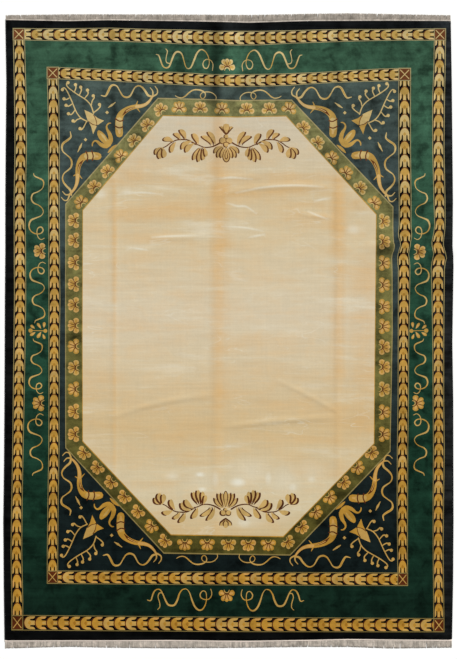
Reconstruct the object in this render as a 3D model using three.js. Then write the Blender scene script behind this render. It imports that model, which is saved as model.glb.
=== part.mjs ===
// Indian transitional rug: a hand-knotted pile carpet lying on a floor, with the overcast cords
// of its two long sides and the fringed warp ends at head and foot.
// Millimetres, +Z up, +Y towards the head end. The origin is on the floor under the middle.

import * as THREE from "three";

// Driving sizes
const halfWidth = 1525;           // to the outside of the side cords
const halfLength = 2107;          // to the ends of the pile
const clothThickness = 11.5;      // foundation and pile together
const cordDiameter = 9;           // overcast side cord
const pieceGap = 0.3;             // between two pieces that touch
const endStripDepth = 9;          // flat woven strip that the fringe hangs from
const endStripThickness = 3.2;
const locksPerEnd = 136;
const lockWidth = 15;
const lockThickness = 4.2;
const lockTipShare = 0.45;        // tip width as a share of the root width
const lockMargin = 3;             // between a corner and its first lock
const lockLean = 5.5;             // most that a tip wanders sideways
const lockLengthSpread = 4;       // most that a lock is longer or shorter than its neighbours
const endFade = 70;               // folds die out over this much before each end
const coarseStep = 300;           // grid step where the rug lies flat
const foldStep = 27;              // grid step across a fold

// How far each long side stands outside (+) or inside (-) the half width, along the rug
const sideDrift = [
  { along: 2107, left: -4, right: -9 },
  { along: 1696, left: -11, right: -2 },
  { along: 1287, left: -7, right: 2 },
  { along: 878, left: -4, right: 6 },
  { along: 540, left: -4, right: 3 },
  { along: 450, left: -3, right: 10 },
  { along: 197, left: -1, right: 6 },
  { along: -76, left: 0, right: 2 },
  { along: -485, left: 2, right: 8 },
  { along: -894, left: 5, right: 9 },
  { along: -1303, left: 10, right: 10 },
  { along: -1712, left: 7, right: 7 },
  { along: -2107, left: 2, right: 0 },
];

// How far each pile end stands outside (+) or inside (-) the half length, across the rug,
// and how far the fringe reaches past it
const endDrift = [
  { across: -1525, head: 10, foot: 0, headFringe: 37, footFringe: 60 },
  { across: -1092, head: 2, foot: -1, headFringe: 51, footFringe: 50 },
  { across: -820, head: 8, foot: -1, headFringe: 45, footFringe: 56 },
  { across: -411, head: 3, foot: -3, headFringe: 49, footFringe: 62 },
  { across: -60, head: -3, foot: 1, headFringe: 53, footFringe: 55 },
  { across: 135, head: -9, foot: 2, headFringe: 57, footFringe: 53 },
  { across: 543, head: 3, foot: -4, headFringe: 53, footFringe: 54 },
  { across: 816, head: 4, foot: -10, headFringe: 56, footFringe: 60 },
  { across: 1089, head: 5, foot: -7, headFringe: 50, footFringe: 67 },
  { across: 1525, head: 3, foot: -4, headFringe: 43, footFringe: 59 },
];

// Lengthwise fold marks, left by folding the rug in four: where each lies and how it swells
const lengthFolds = [
  { across: -779, from: 1950, to: -1960, rise: 3.5, spread: 36 },
  { across: -60, from: 2107, to: 900, rise: 7, spread: 62 },
  { across: -85, from: 1100, to: -1980, rise: 4, spread: 56 },
  { across: 741, from: 1900, to: -1900, rise: 3.5, spread: 36 },
];

// Crosswise creases: the two ends, the bow of the line between them, and how it swells
const crossFolds = [
  { across0: -90, along0: 1040, across1: 230, along1: 1046, bow: 6, rise: 3, spread: 30 },
  { across0: -43, along0: 940, across1: 700, along1: 975, bow: 26, rise: 5, spread: 34 },
  { across0: 470, along0: 796, across1: 720, along1: 768, bow: 0, rise: 3, spread: 30 },
  { across0: -560, along0: 632, across1: -130, along1: 646, bow: -6, rise: 3.5, spread: 32 },
  { across0: -800, along0: -590, across1: -80, along1: -440, bow: 30, rise: 4, spread: 34 },
  { across0: -60, along0: -662, across1: 740, along1: -590, bow: 14, rise: 5, spread: 34 },
  { across0: 310, along0: -330, across1: 770, along1: -570, bow: 10, rise: 3, spread: 32 },
];

// The buckle that runs in from the right-hand side: its line inwards from the edge
const sideBuckle = { across0: 1545, along0: 512, across1: 900, along1: 556, bow: 34, rise: 20, spread: 66 };

const colours = {
  pile: { color: 0x24493a, roughness: 0.85, metalness: 0 },
  cord: { color: 0x17171a, roughness: 0.9, metalness: 0 },
  fringe: { color: 0xd8ccb4, roughness: 0.95, metalness: 0 },
};

function clamp01(value) {
  return Math.min(Math.max(value, 0), 1);
}

// Straight-line reading of one column of a table, sorted here by its key column
function readTable(table, key, column, at) {
  const rows = [...table].sort((a, b) => a[key] - b[key]);
  const next = rows.findIndex((row) => row[key] >= at);
  if (next === 0) return rows[0][column];
  if (next < 0) return rows[rows.length - 1][column];
  const [low, high] = [rows[next - 1], rows[next]];
  const share = (at - low[key]) / (high[key] - low[key]);
  return low[column] + share * (high[column] - low[column]);
}

// A smooth swell: 1 on the fold's line, 0 from spread outwards
function swell(distance, spread) {
  const share = Math.abs(distance) / spread;
  return share < 1 ? 0.5 * (1 + Math.cos(Math.PI * share)) : 0;
}

function lengthFoldHeight(fold, x, y) {
  const share = (y - fold.from) / (fold.to - fold.from);
  if (share <= 0 || share >= 1) return 0;
  const fullness = Math.pow(Math.sin(Math.PI * share), 0.5);
  return fold.rise * fullness * swell(x - fold.across, fold.spread);
}

// Height of a crease between two ends. An open one is highest at its first end.
function crossFoldHeight(fold, x, y, open) {
  const share = (x - fold.across0) / (fold.across1 - fold.across0);
  if (share <= 0 || share >= 1) return 0;
  const line = fold.along0 + share * (fold.along1 - fold.along0) + 4 * fold.bow * share * (1 - share);
  const fullness = open ? Math.cos((Math.PI / 2) * share) : Math.sqrt(Math.sin(Math.PI * share));
  return fold.rise * fullness * swell(y - line, fold.spread);
}

// How far the cloth's underside is lifted off the floor
function liftAt(x, y) {
  let lift = crossFoldHeight(sideBuckle, x, y, true);
  for (const fold of lengthFolds) lift += lengthFoldHeight(fold, x, y);
  for (const fold of crossFolds) lift += crossFoldHeight(fold, x, y, false);
  const fade = clamp01((halfLength - Math.abs(y)) / endFade);
  return lift * fade * fade * (3 - 2 * fade);
}

// Outline of the whole rug, in the same way for both sides and both ends
function sideAt(y, side) {
  return side * (halfWidth + readTable(sideDrift, "along", side < 0 ? "left" : "right", y));
}

function endAt(x, end) {
  return end * (halfLength + readTable(endDrift, "across", end > 0 ? "head" : "foot", x));
}

// Grid lines from -half to half, close together inside the busy spans
function gridLines(half, busySpans) {
  const marks = [-half, half];
  for (const { from, to } of busySpans) {
    const count = Math.max(Math.ceil((to - from) / foldStep), 2);
    for (let i = 0; i <= count; i += 1) marks.push(from + (i * (to - from)) / count);
  }
  marks.sort((a, b) => a - b);
  const lines = [marks[0]];
  for (const mark of marks.slice(1)) {
    const last = lines[lines.length - 1];
    const step = mark - last;
    if (step < foldStep * 0.6 && mark < half) continue;
    const extra = Math.floor(step / coarseStep);
    for (let i = 1; i <= extra; i += 1) lines.push(last + (i * step) / (extra + 1));
    lines.push(mark);
  }
  return lines;
}

function crossFoldSpan(fold) {
  const ends = [fold.along0, fold.along1, (fold.along0 + fold.along1) / 2 + fold.bow];
  return { from: Math.min(...ends) - fold.spread, to: Math.max(...ends) + fold.spread };
}

const clothHalf = halfWidth - cordDiameter - pieceGap;
const acrossLines = gridLines(
  clothHalf,
  lengthFolds.map((fold) => ({ from: fold.across - fold.spread, to: fold.across + fold.spread })),
);
const alongLines = gridLines(halfLength, [...crossFolds, sideBuckle].map(crossFoldSpan));

// Where a grid point lies once the drift of the outline is spread over the rug
function placeOf(x, y) {
  const side = Math.sign(x) || 1;
  const end = Math.sign(y) || 1;
  const sideShare = Math.pow(Math.abs(x) / clothHalf, 2);
  const endShare = Math.pow(Math.abs(y) / halfLength, 4);
  const sideShift = sideAt(y, side) - side * halfWidth;
  const endShift = endAt(x, end) - end * halfLength;
  return { x: x + sideShare * sideShift, y: y + endShare * endShift };
}

function closedGeometry(points, faces) {
  const geometry = new THREE.BufferGeometry();
  geometry.setAttribute("position", new THREE.Float32BufferAttribute(points.flat(), 3));
  geometry.setIndex(faces.flat());
  geometry.computeVertexNormals();
  return geometry;
}

// The rug: one even thickness of cloth over the grid, lifted at its folds
function rugBody() {
  const rows = alongLines.length;
  const columns = acrossLines.length;
  const points = [];
  for (const height of [0, clothThickness]) {
    for (const y of alongLines) {
      for (const x of acrossLines) {
        const place = placeOf(x, y);
        points.push([place.x, place.y, liftAt(x, y) + height]);
      }
    }
  }
  const at = (row, column, layer) => layer * rows * columns + row * columns + column;
  const faces = [];
  const quad = (a, b, c, d) => faces.push([a, b, c], [a, c, d]);
  for (let r = 0; r < rows - 1; r += 1) {
    for (let c = 0; c < columns - 1; c += 1) {
      quad(at(r, c, 1), at(r, c + 1, 1), at(r + 1, c + 1, 1), at(r + 1, c, 1));
      quad(at(r, c, 0), at(r + 1, c, 0), at(r + 1, c + 1, 0), at(r, c + 1, 0));
    }
  }
  for (let c = 0; c < columns - 1; c += 1) {
    const last = rows - 1;
    quad(at(0, c, 0), at(0, c + 1, 0), at(0, c + 1, 1), at(0, c, 1));
    quad(at(last, c + 1, 0), at(last, c, 0), at(last, c, 1), at(last, c + 1, 1));
  }
  for (let r = 0; r < rows - 1; r += 1) {
    const last = columns - 1;
    quad(at(r + 1, 0, 0), at(r, 0, 0), at(r, 0, 1), at(r + 1, 0, 1));
    quad(at(r, last, 0), at(r + 1, last, 0), at(r + 1, last, 1), at(r, last, 1));
  }
  return closedGeometry(points, faces);
}

// A closed body through rings of points, each ring turning the same way, with flat ends
function loft(rings) {
  const sides = rings[0].length;
  const faces = [];
  for (let r = 0; r < rings.length - 1; r += 1) {
    for (let s = 0; s < sides; s += 1) {
      const t = (s + 1) % sides;
      const [a, b] = [r * sides + s, r * sides + t];
      faces.push([a, b, b + sides], [a, b + sides, a + sides]);
    }
  }
  const top = (rings.length - 1) * sides;
  for (let s = 1; s < sides - 1; s += 1) {
    faces.push([0, s + 1, s], [top, top + s, top + s + 1]);
  }
  return closedGeometry(rings.flat(), faces);
}

// The overcast cord of one long side: it rests on the floor and rides up over the buckle
function sideCord(side) {
  const corners = 8;
  const radius = cordDiameter / 2;
  const flatRadius = radius / Math.cos(Math.PI / corners);
  const rings = alongLines.map((y) => {
    const edge = placeOf(side * clothHalf, y);
    const centre = { x: edge.x + side * (pieceGap + radius), z: liftAt(side * clothHalf, y) + radius };
    const ring = [];
    for (let i = 0; i < corners; i += 1) {
      const turn = (2 * Math.PI * (i + 0.5)) / corners;
      ring.push([centre.x - flatRadius * Math.cos(turn), edge.y, centre.z + flatRadius * Math.sin(turn)]);
    }
    return ring;
  });
  return loft(rings);
}

// An even scatter between -1 and 1 that is the same each time
function scatter(index, salt) {
  const wave = Math.sin(index * 12.9898 + salt * 78.233) * 43758.5453;
  return 2 * (wave - Math.floor(wave)) - 1;
}

// The pile's end line with the side cords' ends added, as the strip meets it. It is worked out
// with y growing outwards, so that head and foot are made alike.
function endLine(end) {
  const cordOut = cordDiameter + pieceGap;
  const stations = acrossLines.map((x) => placeOf(x, end * halfLength));
  const first = stations[0];
  const last = stations[stations.length - 1];
  const line = [{ x: first.x - cordOut, y: first.y }, ...stations, { x: last.x + cordOut, y: last.y }];
  return line.map(({ x, y }) => ({ x, y: y * end + pieceGap }));
}

// One lock of warp ends: flat on the floor, with a ridge along its top, lower at its tip.
// Each station holds its left and right foot and its ridge.
function warpLock(index, end, line) {
  const first = line[0].x + lockMargin + lockWidth / 2;
  const last = line[line.length - 1].x - lockMargin - lockWidth / 2;
  const middle = first + (index * (last - first)) / (locksPerEnd - 1);
  const reach = readTable(endDrift, "across", end > 0 ? "headFringe" : "footFringe", middle);
  const stripEdge = (x) => readTable(line, "x", "y", x) + endStripDepth;
  const tip = endAt(middle, end) * end + reach + lockLengthSpread * scatter(index, end);
  const lean = lockLean * scatter(index, 3 + end);
  const bend = lockLean * 0.5 * scatter(index, 7 + end);
  const stations = [
    { y: null, side: 0, size: 1, ridge: endStripThickness },
    { y: (stripEdge(middle) + tip) / 2, side: bend + lean * 0.4, size: 0.9, ridge: lockThickness },
    { y: tip, side: lean, size: lockTipShare, ridge: lockTipShare * lockThickness },
  ];
  return stations.map(({ y, side, size, ridge }) => {
    const x = middle + side;
    const half = (size * lockWidth) / 2;
    const at = (across, z) => [across, y ?? stripEdge(across), z];
    return { left: at(x - half, 0), top: at(x, ridge), right: at(x + half, 0) };
  });
}

// The flat woven strip at one end and the locks that hang from it, in one closed piece
function fringe(end) {
  const line = endLine(end);
  const locks = Array.from({ length: locksPerEnd }, (_, index) => warpLock(index, end, line));
  const points = [];
  const faces = [];
  const add = (point) => points.push(point) - 1;
  const quad = (a, b, c, d) => faces.push([a, b, c], [a, c, d]);

  const inner = line.map(({ x, y }) => ({ low: add([x, y, 0]), high: add([x, y, endStripThickness]) }));
  const corner = ({ x, y }) => ({
    low: add([x, y + endStripDepth, 0]),
    high: add([x, y + endStripDepth, endStripThickness]),
  });
  const leftCorner = corner(line[0]);
  const rightCorner = corner(line[line.length - 1]);
  const rows = locks.map((stations) => stations.map(({ left, top, right }) => ({
    left: add(left), top: add(top), right: add(right),
  })));

  // walls of the strip: towards the pile, at both ends, and between the locks
  for (let i = 0; i < inner.length - 1; i += 1) {
    quad(inner[i].low, inner[i + 1].low, inner[i + 1].high, inner[i].high);
  }
  const lastInner = inner[inner.length - 1];
  quad(leftCorner.low, inner[0].low, inner[0].high, leftCorner.high);
  quad(lastInner.low, rightCorner.low, rightCorner.high, lastInner.high);
  const roots = rows.map((stations) => stations[0]);
  faces.push([roots[0].left, leftCorner.low, roots[0].top]);
  faces.push([leftCorner.low, leftCorner.high, roots[0].top]);
  for (let i = 0; i < roots.length - 1; i += 1) {
    quad(roots[i + 1].left, roots[i].right, roots[i].top, roots[i + 1].top);
  }
  const lastRoot = roots[roots.length - 1];
  quad(rightCorner.low, lastRoot.right, lastRoot.top, rightCorner.high);

  // slopes, underside and tip of each lock
  for (const stations of rows) {
    for (let i = 0; i < stations.length - 1; i += 1) {
      const [near, far] = [stations[i], stations[i + 1]];
      quad(near.left, near.top, far.top, far.left);
      quad(near.top, near.right, far.right, far.top);
      quad(near.left, far.left, far.right, near.right);
    }
    const tip = stations[stations.length - 1];
    faces.push([tip.left, tip.top, tip.right]);
  }

  // level underside and top of the strip
  const outerLow = [leftCorner.low, ...roots.flatMap(({ left, right }) => [left, right]), rightCorner.low];
  const outerHigh = [leftCorner.high, ...roots.map(({ top }) => top), rightCorner.high];
  const underside = stripFaces(points, inner.map(({ low }) => low), outerLow);
  faces.push(...underside.map((face) => face.toReversed()));
  faces.push(...stripFaces(points, inner.map(({ high }) => high), outerHigh));

  const placed = points.map(([x, y, z]) => [x, y * end, z]);
  return closedGeometry(placed, end > 0 ? faces : faces.map((face) => face.toReversed()));
}

// Triangles facing up between two chains of points that both run from left to right
function stripFaces(points, near, far) {
  const faces = [];
  let [n, f] = [0, 0];
  while (n < near.length - 1 || f < far.length - 1) {
    const nextNear = n < near.length - 1 ? points[near[n + 1]][0] : Infinity;
    const nextFar = f < far.length - 1 ? points[far[f + 1]][0] : Infinity;
    if (nextNear <= nextFar) {
      faces.push([near[n], near[n + 1], far[f]]);
      n += 1;
    } else {
      faces.push([near[n], far[f + 1], far[f]]);
      f += 1;
    }
  }
  return faces;
}

function makeMesh(name, geometry, finish) {
  const mesh = new THREE.Mesh(geometry, new THREE.MeshStandardMaterial(finish));
  mesh.name = name;
  return mesh;
}

const rug = new THREE.Group();
rug.add(
  makeMesh("rug_body", rugBody(), colours.pile),
  makeMesh("selvedge_left", sideCord(-1), colours.cord),
  makeMesh("selvedge_right", sideCord(1), colours.cord),
  makeMesh("fringe_head", fringe(1), colours.fringe),
  makeMesh("fringe_foot", fringe(-1), colours.fringe),
);

export default rug;
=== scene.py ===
import math
import random

import bpy
import numpy as np
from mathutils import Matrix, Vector
from mathutils.geometry import delaunay_2d_cdt


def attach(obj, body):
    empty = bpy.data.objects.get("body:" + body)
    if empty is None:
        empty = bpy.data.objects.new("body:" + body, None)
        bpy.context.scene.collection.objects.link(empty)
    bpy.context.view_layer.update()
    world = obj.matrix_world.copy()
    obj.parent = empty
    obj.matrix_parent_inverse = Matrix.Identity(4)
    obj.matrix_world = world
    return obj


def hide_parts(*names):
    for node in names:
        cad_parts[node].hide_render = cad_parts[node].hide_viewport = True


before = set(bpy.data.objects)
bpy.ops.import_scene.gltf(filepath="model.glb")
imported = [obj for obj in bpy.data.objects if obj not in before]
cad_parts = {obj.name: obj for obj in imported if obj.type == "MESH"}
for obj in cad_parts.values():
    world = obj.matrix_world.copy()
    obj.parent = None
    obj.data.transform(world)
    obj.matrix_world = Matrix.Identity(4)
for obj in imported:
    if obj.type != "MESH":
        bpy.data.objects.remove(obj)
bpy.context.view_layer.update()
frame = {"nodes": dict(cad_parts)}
print("frame loaded:", ", ".join(frame["nodes"]))

mm = 0.001        # lengths are written in millimetres and built in metres
square = 6.8      # one square of the weaver's squared drawing, in millimetres

# The cloth as it lies, the same sizes as its solid
cloth = {
    "halfWidth": 1525,
    "halfLength": 2107,
    "thickness": 11.5,
    "cordDiameter": 9,
    "gap": 0.3,
    "endFade": 70,
    "napUnevenness": 0.45,    # how far the clipped pile rises and falls
    "backHeight": 0.3,
}
clothHalf = cloth["halfWidth"] - cloth["cordDiameter"] - cloth["gap"]

# How far the outline stands out from a true rectangle, from foot to head and left to right
sideDrift = {
    "along": [-2107, -1712, -1303, -894, -485, -76, 197, 450, 540, 878, 1287, 1696, 2107],
    "left": [2, 7, 10, 5, 2, 0, -1, -3, -4, -4, -7, -11, -4],
    "right": [0, 7, 10, 9, 8, 2, 6, 10, 3, 6, 2, -2, -9],
}
endDrift = {
    "across": [-1525, -1092, -820, -411, -60, 135, 543, 816, 1089, 1525],
    "head": [10, 2, 8, 3, -3, -9, 3, 4, 5, 3],
    "foot": [0, -1, -1, -3, 1, 2, -4, -10, -7, -4],
    "headFringe": [37, 51, 45, 49, 53, 57, 53, 56, 50, 43],
    "footFringe": [60, 50, 56, 62, 56, 53, 54, 60, 67, 59],
}
lengthFolds = [
    {"across": -779, "from": 1950, "to": -1960, "rise": 3.5, "spread": 36},
    {"across": -60, "from": 2107, "to": 900, "rise": 7, "spread": 62},
    {"across": -85, "from": 1100, "to": -1980, "rise": 4, "spread": 56},
    {"across": 741, "from": 1900, "to": -1900, "rise": 3.5, "spread": 36},
]
crossColumns = ("across0", "along0", "across1", "along1", "bow", "rise", "spread")
crossFolds = [dict(zip(crossColumns, row)) for row in (
    (-90, 1040, 230, 1046, 6, 3, 30),
    (-43, 940, 700, 975, 26, 5, 34),
    (470, 796, 720, 768, 0, 3, 30),
    (-560, 632, -130, 646, -6, 3.5, 32),
    (-800, -590, -80, -440, 30, 4, 34),
    (-60, -662, 740, -590, 14, 5, 34),
    (310, -330, 770, -570, 10, 3, 32),
)]
sideBuckle = dict(zip(crossColumns, (1545, 512, 900, 556, 34, 20, 66)))


def readTable(table, key, column, at):
    return np.interp(at, table[key], table[column])


def swell(distance, spread):
    share = np.minimum(np.abs(distance) / spread, 1)
    return 0.5 * (1 + np.cos(np.pi * share))


def lengthFullness(fold, y):
    share = np.clip((y - fold["from"]) / (fold["to"] - fold["from"]), 0, 1)
    return np.sqrt(np.sin(np.pi * share).clip(0))


def crossLine(fold, x):
    share = np.clip((x - fold["across0"]) / (fold["across1"] - fold["across0"]), 0, 1)
    climb = fold["along1"] - fold["along0"]
    line = fold["along0"] + share * climb + 4 * fold["bow"] * share * (1 - share)
    return share, line


def crossHeight(fold, x, y, openEnd=False):
    share, line = crossLine(fold, x)
    if openEnd:
        fullness = np.cos(np.pi / 2 * share) * (share > 0) * (share < 1)
    else:
        fullness = np.sqrt(np.sin(np.pi * share).clip(0))
    return fold["rise"] * fullness * swell(y - line, fold["spread"])


def liftAt(x, y):
    lift = crossHeight(sideBuckle, x, y, openEnd=True)
    for fold in lengthFolds:
        lift = lift + fold["rise"] * lengthFullness(fold, y) * swell(x - fold["across"], fold["spread"])
    for fold in crossFolds:
        lift = lift + crossHeight(fold, x, y)
    fade = np.clip((cloth["halfLength"] - np.abs(y)) / cloth["endFade"], 0, 1)
    return lift * fade * fade * (3 - 2 * fade)


def driftAt(x, y):
    side = np.where(x < 0, readTable(sideDrift, "along", "left", y) * -1,
                    readTable(sideDrift, "along", "right", y))
    end = np.where(y < 0, readTable(endDrift, "across", "foot", x) * -1,
                   readTable(endDrift, "across", "head", x))
    return (np.abs(x) / clothHalf) ** 2 * side, (np.abs(y) / cloth["halfLength"]) ** 4 * end


def placeOf(x, y):
    dx, dy = driftAt(x, y)
    return x + dx, y + dy


def flatOf(x, y):    # the other way: which point of the true rectangle lies here
    fx, fy = x, y
    for _ in range(3):
        dx, dy = driftAt(fx, fy)
        fx, fy = x - dx, y - dy
    return fx, fy


# Shapes of the design, each a closed outline in millimetres

def smoothLine(points, perSpan=4, closed=False):
    points = np.asarray(points, float)
    if closed:
        padded = np.vstack([points[-1:], points, points[:2]])
    else:
        padded = np.vstack([2 * points[0] - points[1], points, 2 * points[-1] - points[-2]])
    line = []
    for i in range(1, len(padded) - 2):
        p0, p1, p2, p3 = padded[i - 1:i + 3]
        for step in range(perSpan):
            t = step / perSpan
            line.append(0.5 * (2 * p1 + (p2 - p0) * t + (2 * p0 - 5 * p1 + 4 * p2 - p3) * t * t
                               + (3 * p1 - p0 - 3 * p2 + p3) * t ** 3))
    if not closed:
        line.append(padded[-2])
    return np.array(line)


def band(points, widths, perSpan=3, roundEnds=True):
    line = smoothLine(points, perSpan)
    marks = np.linspace(0, 1, len(widths))
    half = np.interp(np.linspace(0, 1, len(line)), marks, widths) / 2
    run = np.gradient(line, axis=0)
    run /= np.maximum(np.hypot(run[:, 0], run[:, 1]), 1e-6)[:, None]
    across = np.stack([-run[:, 1], run[:, 0]], axis=1)
    outline = [line + across * half[:, None], (line - across * half[:, None])[::-1]]
    if roundEnds:
        bulge = [(0.7, 0.72), (1.0, 0.0), (0.7, -0.72)]
        outline.insert(1, [line[-1] + half[-1] * (a * run[-1] + b * across[-1]) for a, b in bulge])
        outline.append([line[0] - half[0] * (a * run[0] + b * across[0]) for a, b in bulge])
    return np.vstack(outline)


def disc(centre, radius, sides=10):
    turns = np.arange(sides) * 2 * np.pi / sides
    return np.stack([centre[0] + radius * np.cos(turns), centre[1] + radius * np.sin(turns)], axis=1)


def petal(base, tip, width, bend=0.0, fullAt=0.62):
    base, tip = np.asarray(base, float), np.asarray(tip, float)
    length = np.hypot(*(tip - base))
    run = (tip - base) / length
    across = np.array([-run[1], run[0]])
    shares = np.array([0.0, 0.14, 0.3, 0.46, fullAt, 0.78, 0.9, 0.97])
    halves = np.array([0.10, 0.36, 0.66, 0.9, 1.0, 0.92, 0.66, 0.36]) * width / 2
    middle = base + np.outer(shares * length, run) + np.outer(4 * bend * shares * (1 - shares), across)
    left = middle + halves[:, None] * across
    right = middle - halves[:, None] * across
    return np.vstack([left, [tip], right[::-1]])


def put(outline, at, turn=0.0, grow=1.0, flip=1):
    outline = np.asarray(outline, float) * (flip, 1) * grow
    c, s = math.cos(turn), math.sin(turn)
    return outline @ np.array([[c, s], [-s, c]]) + at


painted = []    # painter's order: each yarn covers what was laid before it


def paint(yarn, outline):
    painted.append((yarn, np.asarray(outline, float)))


# The guard stripes: their edge lines, read from foot to head and from left to right
guardSides = {
    "along": [-2040, -1835, -1494, -1153, -812, -471, -131, 210, 326, 426, 466, 495, 522, 551,
              580, 608, 636, 665, 722, 892, 1233, 1573, 1790, 2060],
    "leftOuterOut": [-1478, -1478, -1483, -1478, -1472, -1468, -1464, -1460, -1460, -1461, -1461,
                     -1461, -1461, -1461, -1461, -1461, -1461, -1461, -1462, -1462, -1456, -1459,
                     -1463, -1469],
    "leftOuterIn": [-1398, -1398, -1405, -1402, -1396, -1389, -1383, -1378, -1378, -1379, -1379,
                    -1379, -1379, -1379, -1379, -1380, -1380, -1380, -1380, -1381, -1373, -1375,
                    -1381, -1388],
    "leftInnerOut": [-1237, -1237, -1236, -1232, -1226, -1225, -1225, -1225, -1225, -1225, -1226,
                     -1226, -1226, -1226, -1226, -1226, -1226, -1226, -1226, -1227, -1227, -1232,
                     -1238, -1240],
    "leftInnerIn": [-1160, -1160, -1160, -1157, -1151, -1150, -1149, -1145, -1146, -1147, -1147,
                    -1147, -1148, -1148, -1148, -1148, -1149, -1149, -1149, -1150, -1148, -1153,
                    -1156, -1158],
    "rightInnerIn": [1152, 1151, 1149, 1146, 1147, 1152, 1153, 1154, 1154, 1154, 1150, 1149, 1152,
                     1159, 1168, 1166, 1157, 1155, 1160, 1160, 1157, 1156, 1157, 1158],
    "rightInnerOut": [1224, 1223, 1221, 1222, 1223, 1228, 1229, 1235, 1237, 1238, 1236, 1233, 1229,
                      1233, 1239, 1242, 1249, 1250, 1245, 1246, 1242, 1242, 1243, 1244],
    "rightOuterIn": [1396, 1394, 1391, 1391, 1393, 1391, 1389, 1384, 1380, 1378, 1383, 1389, 1393,
                     1387, 1382, 1383, 1389, 1395, 1402, 1396, 1388, 1387, 1396, 1400],
    "rightOuterOut": [1470, 1468, 1464, 1467, 1472, 1468, 1468, 1470, 1472, 1473, 1479, 1486, 1479,
                      1471, 1466, 1466, 1469, 1473, 1478, 1477, 1470, 1473, 1478, 1481],
}
guardHead = {
    "across": [-1480, -1150, -806, -533, -329, -193, -90, 50, 217, 421, 625, 830, 1034, 1243, 1481],
    "headOuterOut": [2062, 2059, 2064, 2055, 2052, 2048, 2042, 2042, 2042, 2046, 2052, 2055, 2054,
                     2057, 2060],
    "headOuterIn": [1980, 1973, 1971, 1962, 1952, 1949, 1947, 1944, 1945, 1956, 1963, 1970, 1975,
                    1977, 1976],
    "headInnerOut": [1805, 1796, 1781, 1769, 1761, 1753, 1747, 1747, 1749, 1754, 1762, 1774, 1786,
                     1791, 1791],
    "headInnerIn": [1715, 1713, 1699, 1684, 1674, 1666, 1664, 1661, 1663, 1670, 1684, 1693, 1699,
                    1704, 1704],
}
guardFoot = {
    "across": [-1480, 0, 1480],
    "footOuterOut": [-2039, -2050, -2052],
    "footOuterIn": [-1934, -1947, -1957],
    "footInnerOut": [-1720, -1732, -1738],
    "footInnerIn": [-1630, -1640, -1648],
}
lineWidth = 5.0             # the pale line along both edges of a guard
guardMiddle = (8.0, 8.0)    # the point that the rings lie round


def sideLine(name, y):
    return readTable(guardSides, "along", name, y)


def endLine(name, x):
    return readTable(guardHead if name.startswith("head") else guardFoot, "across", name, x)


def meetOf(side, end):    # the corner where a side line and an end line cross
    x = float(sideLine(side, 2000.0 if end.startswith("head") else -2000.0))
    for _ in range(3):
        y = float(endLine(end, x))
        x = float(sideLine(side, y))
    return x, y


def ringOf(ring, inset=0.0):
    left, right = "left" + ring, "right" + ring
    head, foot = "head" + ring, "foot" + ring
    footLeft, footRight = meetOf(left, foot), meetOf(right, foot)
    headLeft, headRight = meetOf(left, head), meetOf(right, head)
    ys = np.array(guardSides["along"], float)
    xs = np.array(guardHead["across"], float)
    up = [footLeft] + [(sideLine(left, y), y) for y in ys if footLeft[1] < y < headLeft[1]] + [headLeft]
    over = [(x, endLine(head, x)) for x in xs if headLeft[0] < x < headRight[0]] + [headRight]
    down = [(sideLine(right, y), y) for y in ys[::-1] if footRight[1] < y < headRight[1]] + [footRight]
    back = [(x, endLine(foot, x)) for x in xs[::-1] if footLeft[0] < x < footRight[0]]
    outline = np.array(up + over + down + back)
    middle = np.array(guardMiddle)
    corner = np.array([headRight[0] - headLeft[0], headRight[1] - footRight[1]]) / 2
    return middle + (outline - middle) * (1 - inset / corner)


for ring, ground in (("Outer", "green"), ("Inner", "navy")):
    paint("khaki", ringOf(ring + "Out"))
    paint("black", ringOf(ring + "Out", lineWidth))
    paint("khaki", ringOf(ring + "In", -lineWidth))
    paint(ground, ringOf(ring + "In"))

# One laurel leaf: share of the pitch back from its tip, and share of the half band across
leaf = {
    "body": [(0, 0), (-0.03, 0.28), (-0.09, 0.52), (-0.17, 0.72), (-0.28, 0.89), (-0.5, 1.0), (-0.96, 1.0),
             (-0.9, 0.78), (-0.78, 0.64), (-0.54, 0.59), (-0.49, 0.48), (-0.56, 0.36), (-1.0, 0.32)],
    "edge": [(-0.34, 0.84), (-0.5, 1.0), (-0.96, 1.0), (-0.9, 0.78), (-0.78, 0.64), (-0.5, 0.68)],
    "glow": [(-0.3, 0), (-0.42, 0.28), (-0.54, 0.34), (-0.52, 0.14), (-0.66, 0)],
    "heart": [(-0.56, 0), (-0.66, 0.18), (-1.0, 0.22)],
    "shortTip": [(0.07, 0), (0.04, 0.3), (-0.01, 0.54), (-0.11, 0.76), (-0.17, 0.72),
                 (-0.09, 0.52), (-0.03, 0.28), (0, 0)],
    "longTip": [(0.09, 0), (0.06, 0.32), (0.0, 0.6), (-0.14, 0.84), (-0.21, 0.8),
                (-0.09, 0.52), (-0.03, 0.28), (0, 0)],
    "sideFill": 0.86,     # how much of the guard's width the leaves take
    "endFill": 0.93,
}
sidePitch = {
    "along": [-1700, -1400, -1100, -800, -300, 700, 900, 1100, 1700, 2000],
    "pitch": [98, 93, 88, 84, 80, 80.5, 83, 89, 94, 92],
}
endRuns = [
    {"ring": "headOuter", "first": -1341, "pitch": [77.5, 70.5, 70.5, 75]},
    {"ring": "headInner", "first": -1142, "pitch": [69.5, 70, 70, 70]},
    {"ring": "footOuter", "first": -1313, "pitch": [76.6, 76.8, 77.5, 77.5]},
    {"ring": "footInner", "first": -1130, "pitch": [82, 79, 79, 80]},
]
sideRuns = [
    {"ring": "leftOuter", "first": 1938}, {"ring": "leftInner", "first": 1665},
    {"ring": "rightOuter", "first": 1936}, {"ring": "rightInner", "first": 1660},
]
tuckUnder = 12      # how far a cut leaf runs in under the corner square
shade = random.Random(7)    # decides which golds a leaf or a flower is knotted in


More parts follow.
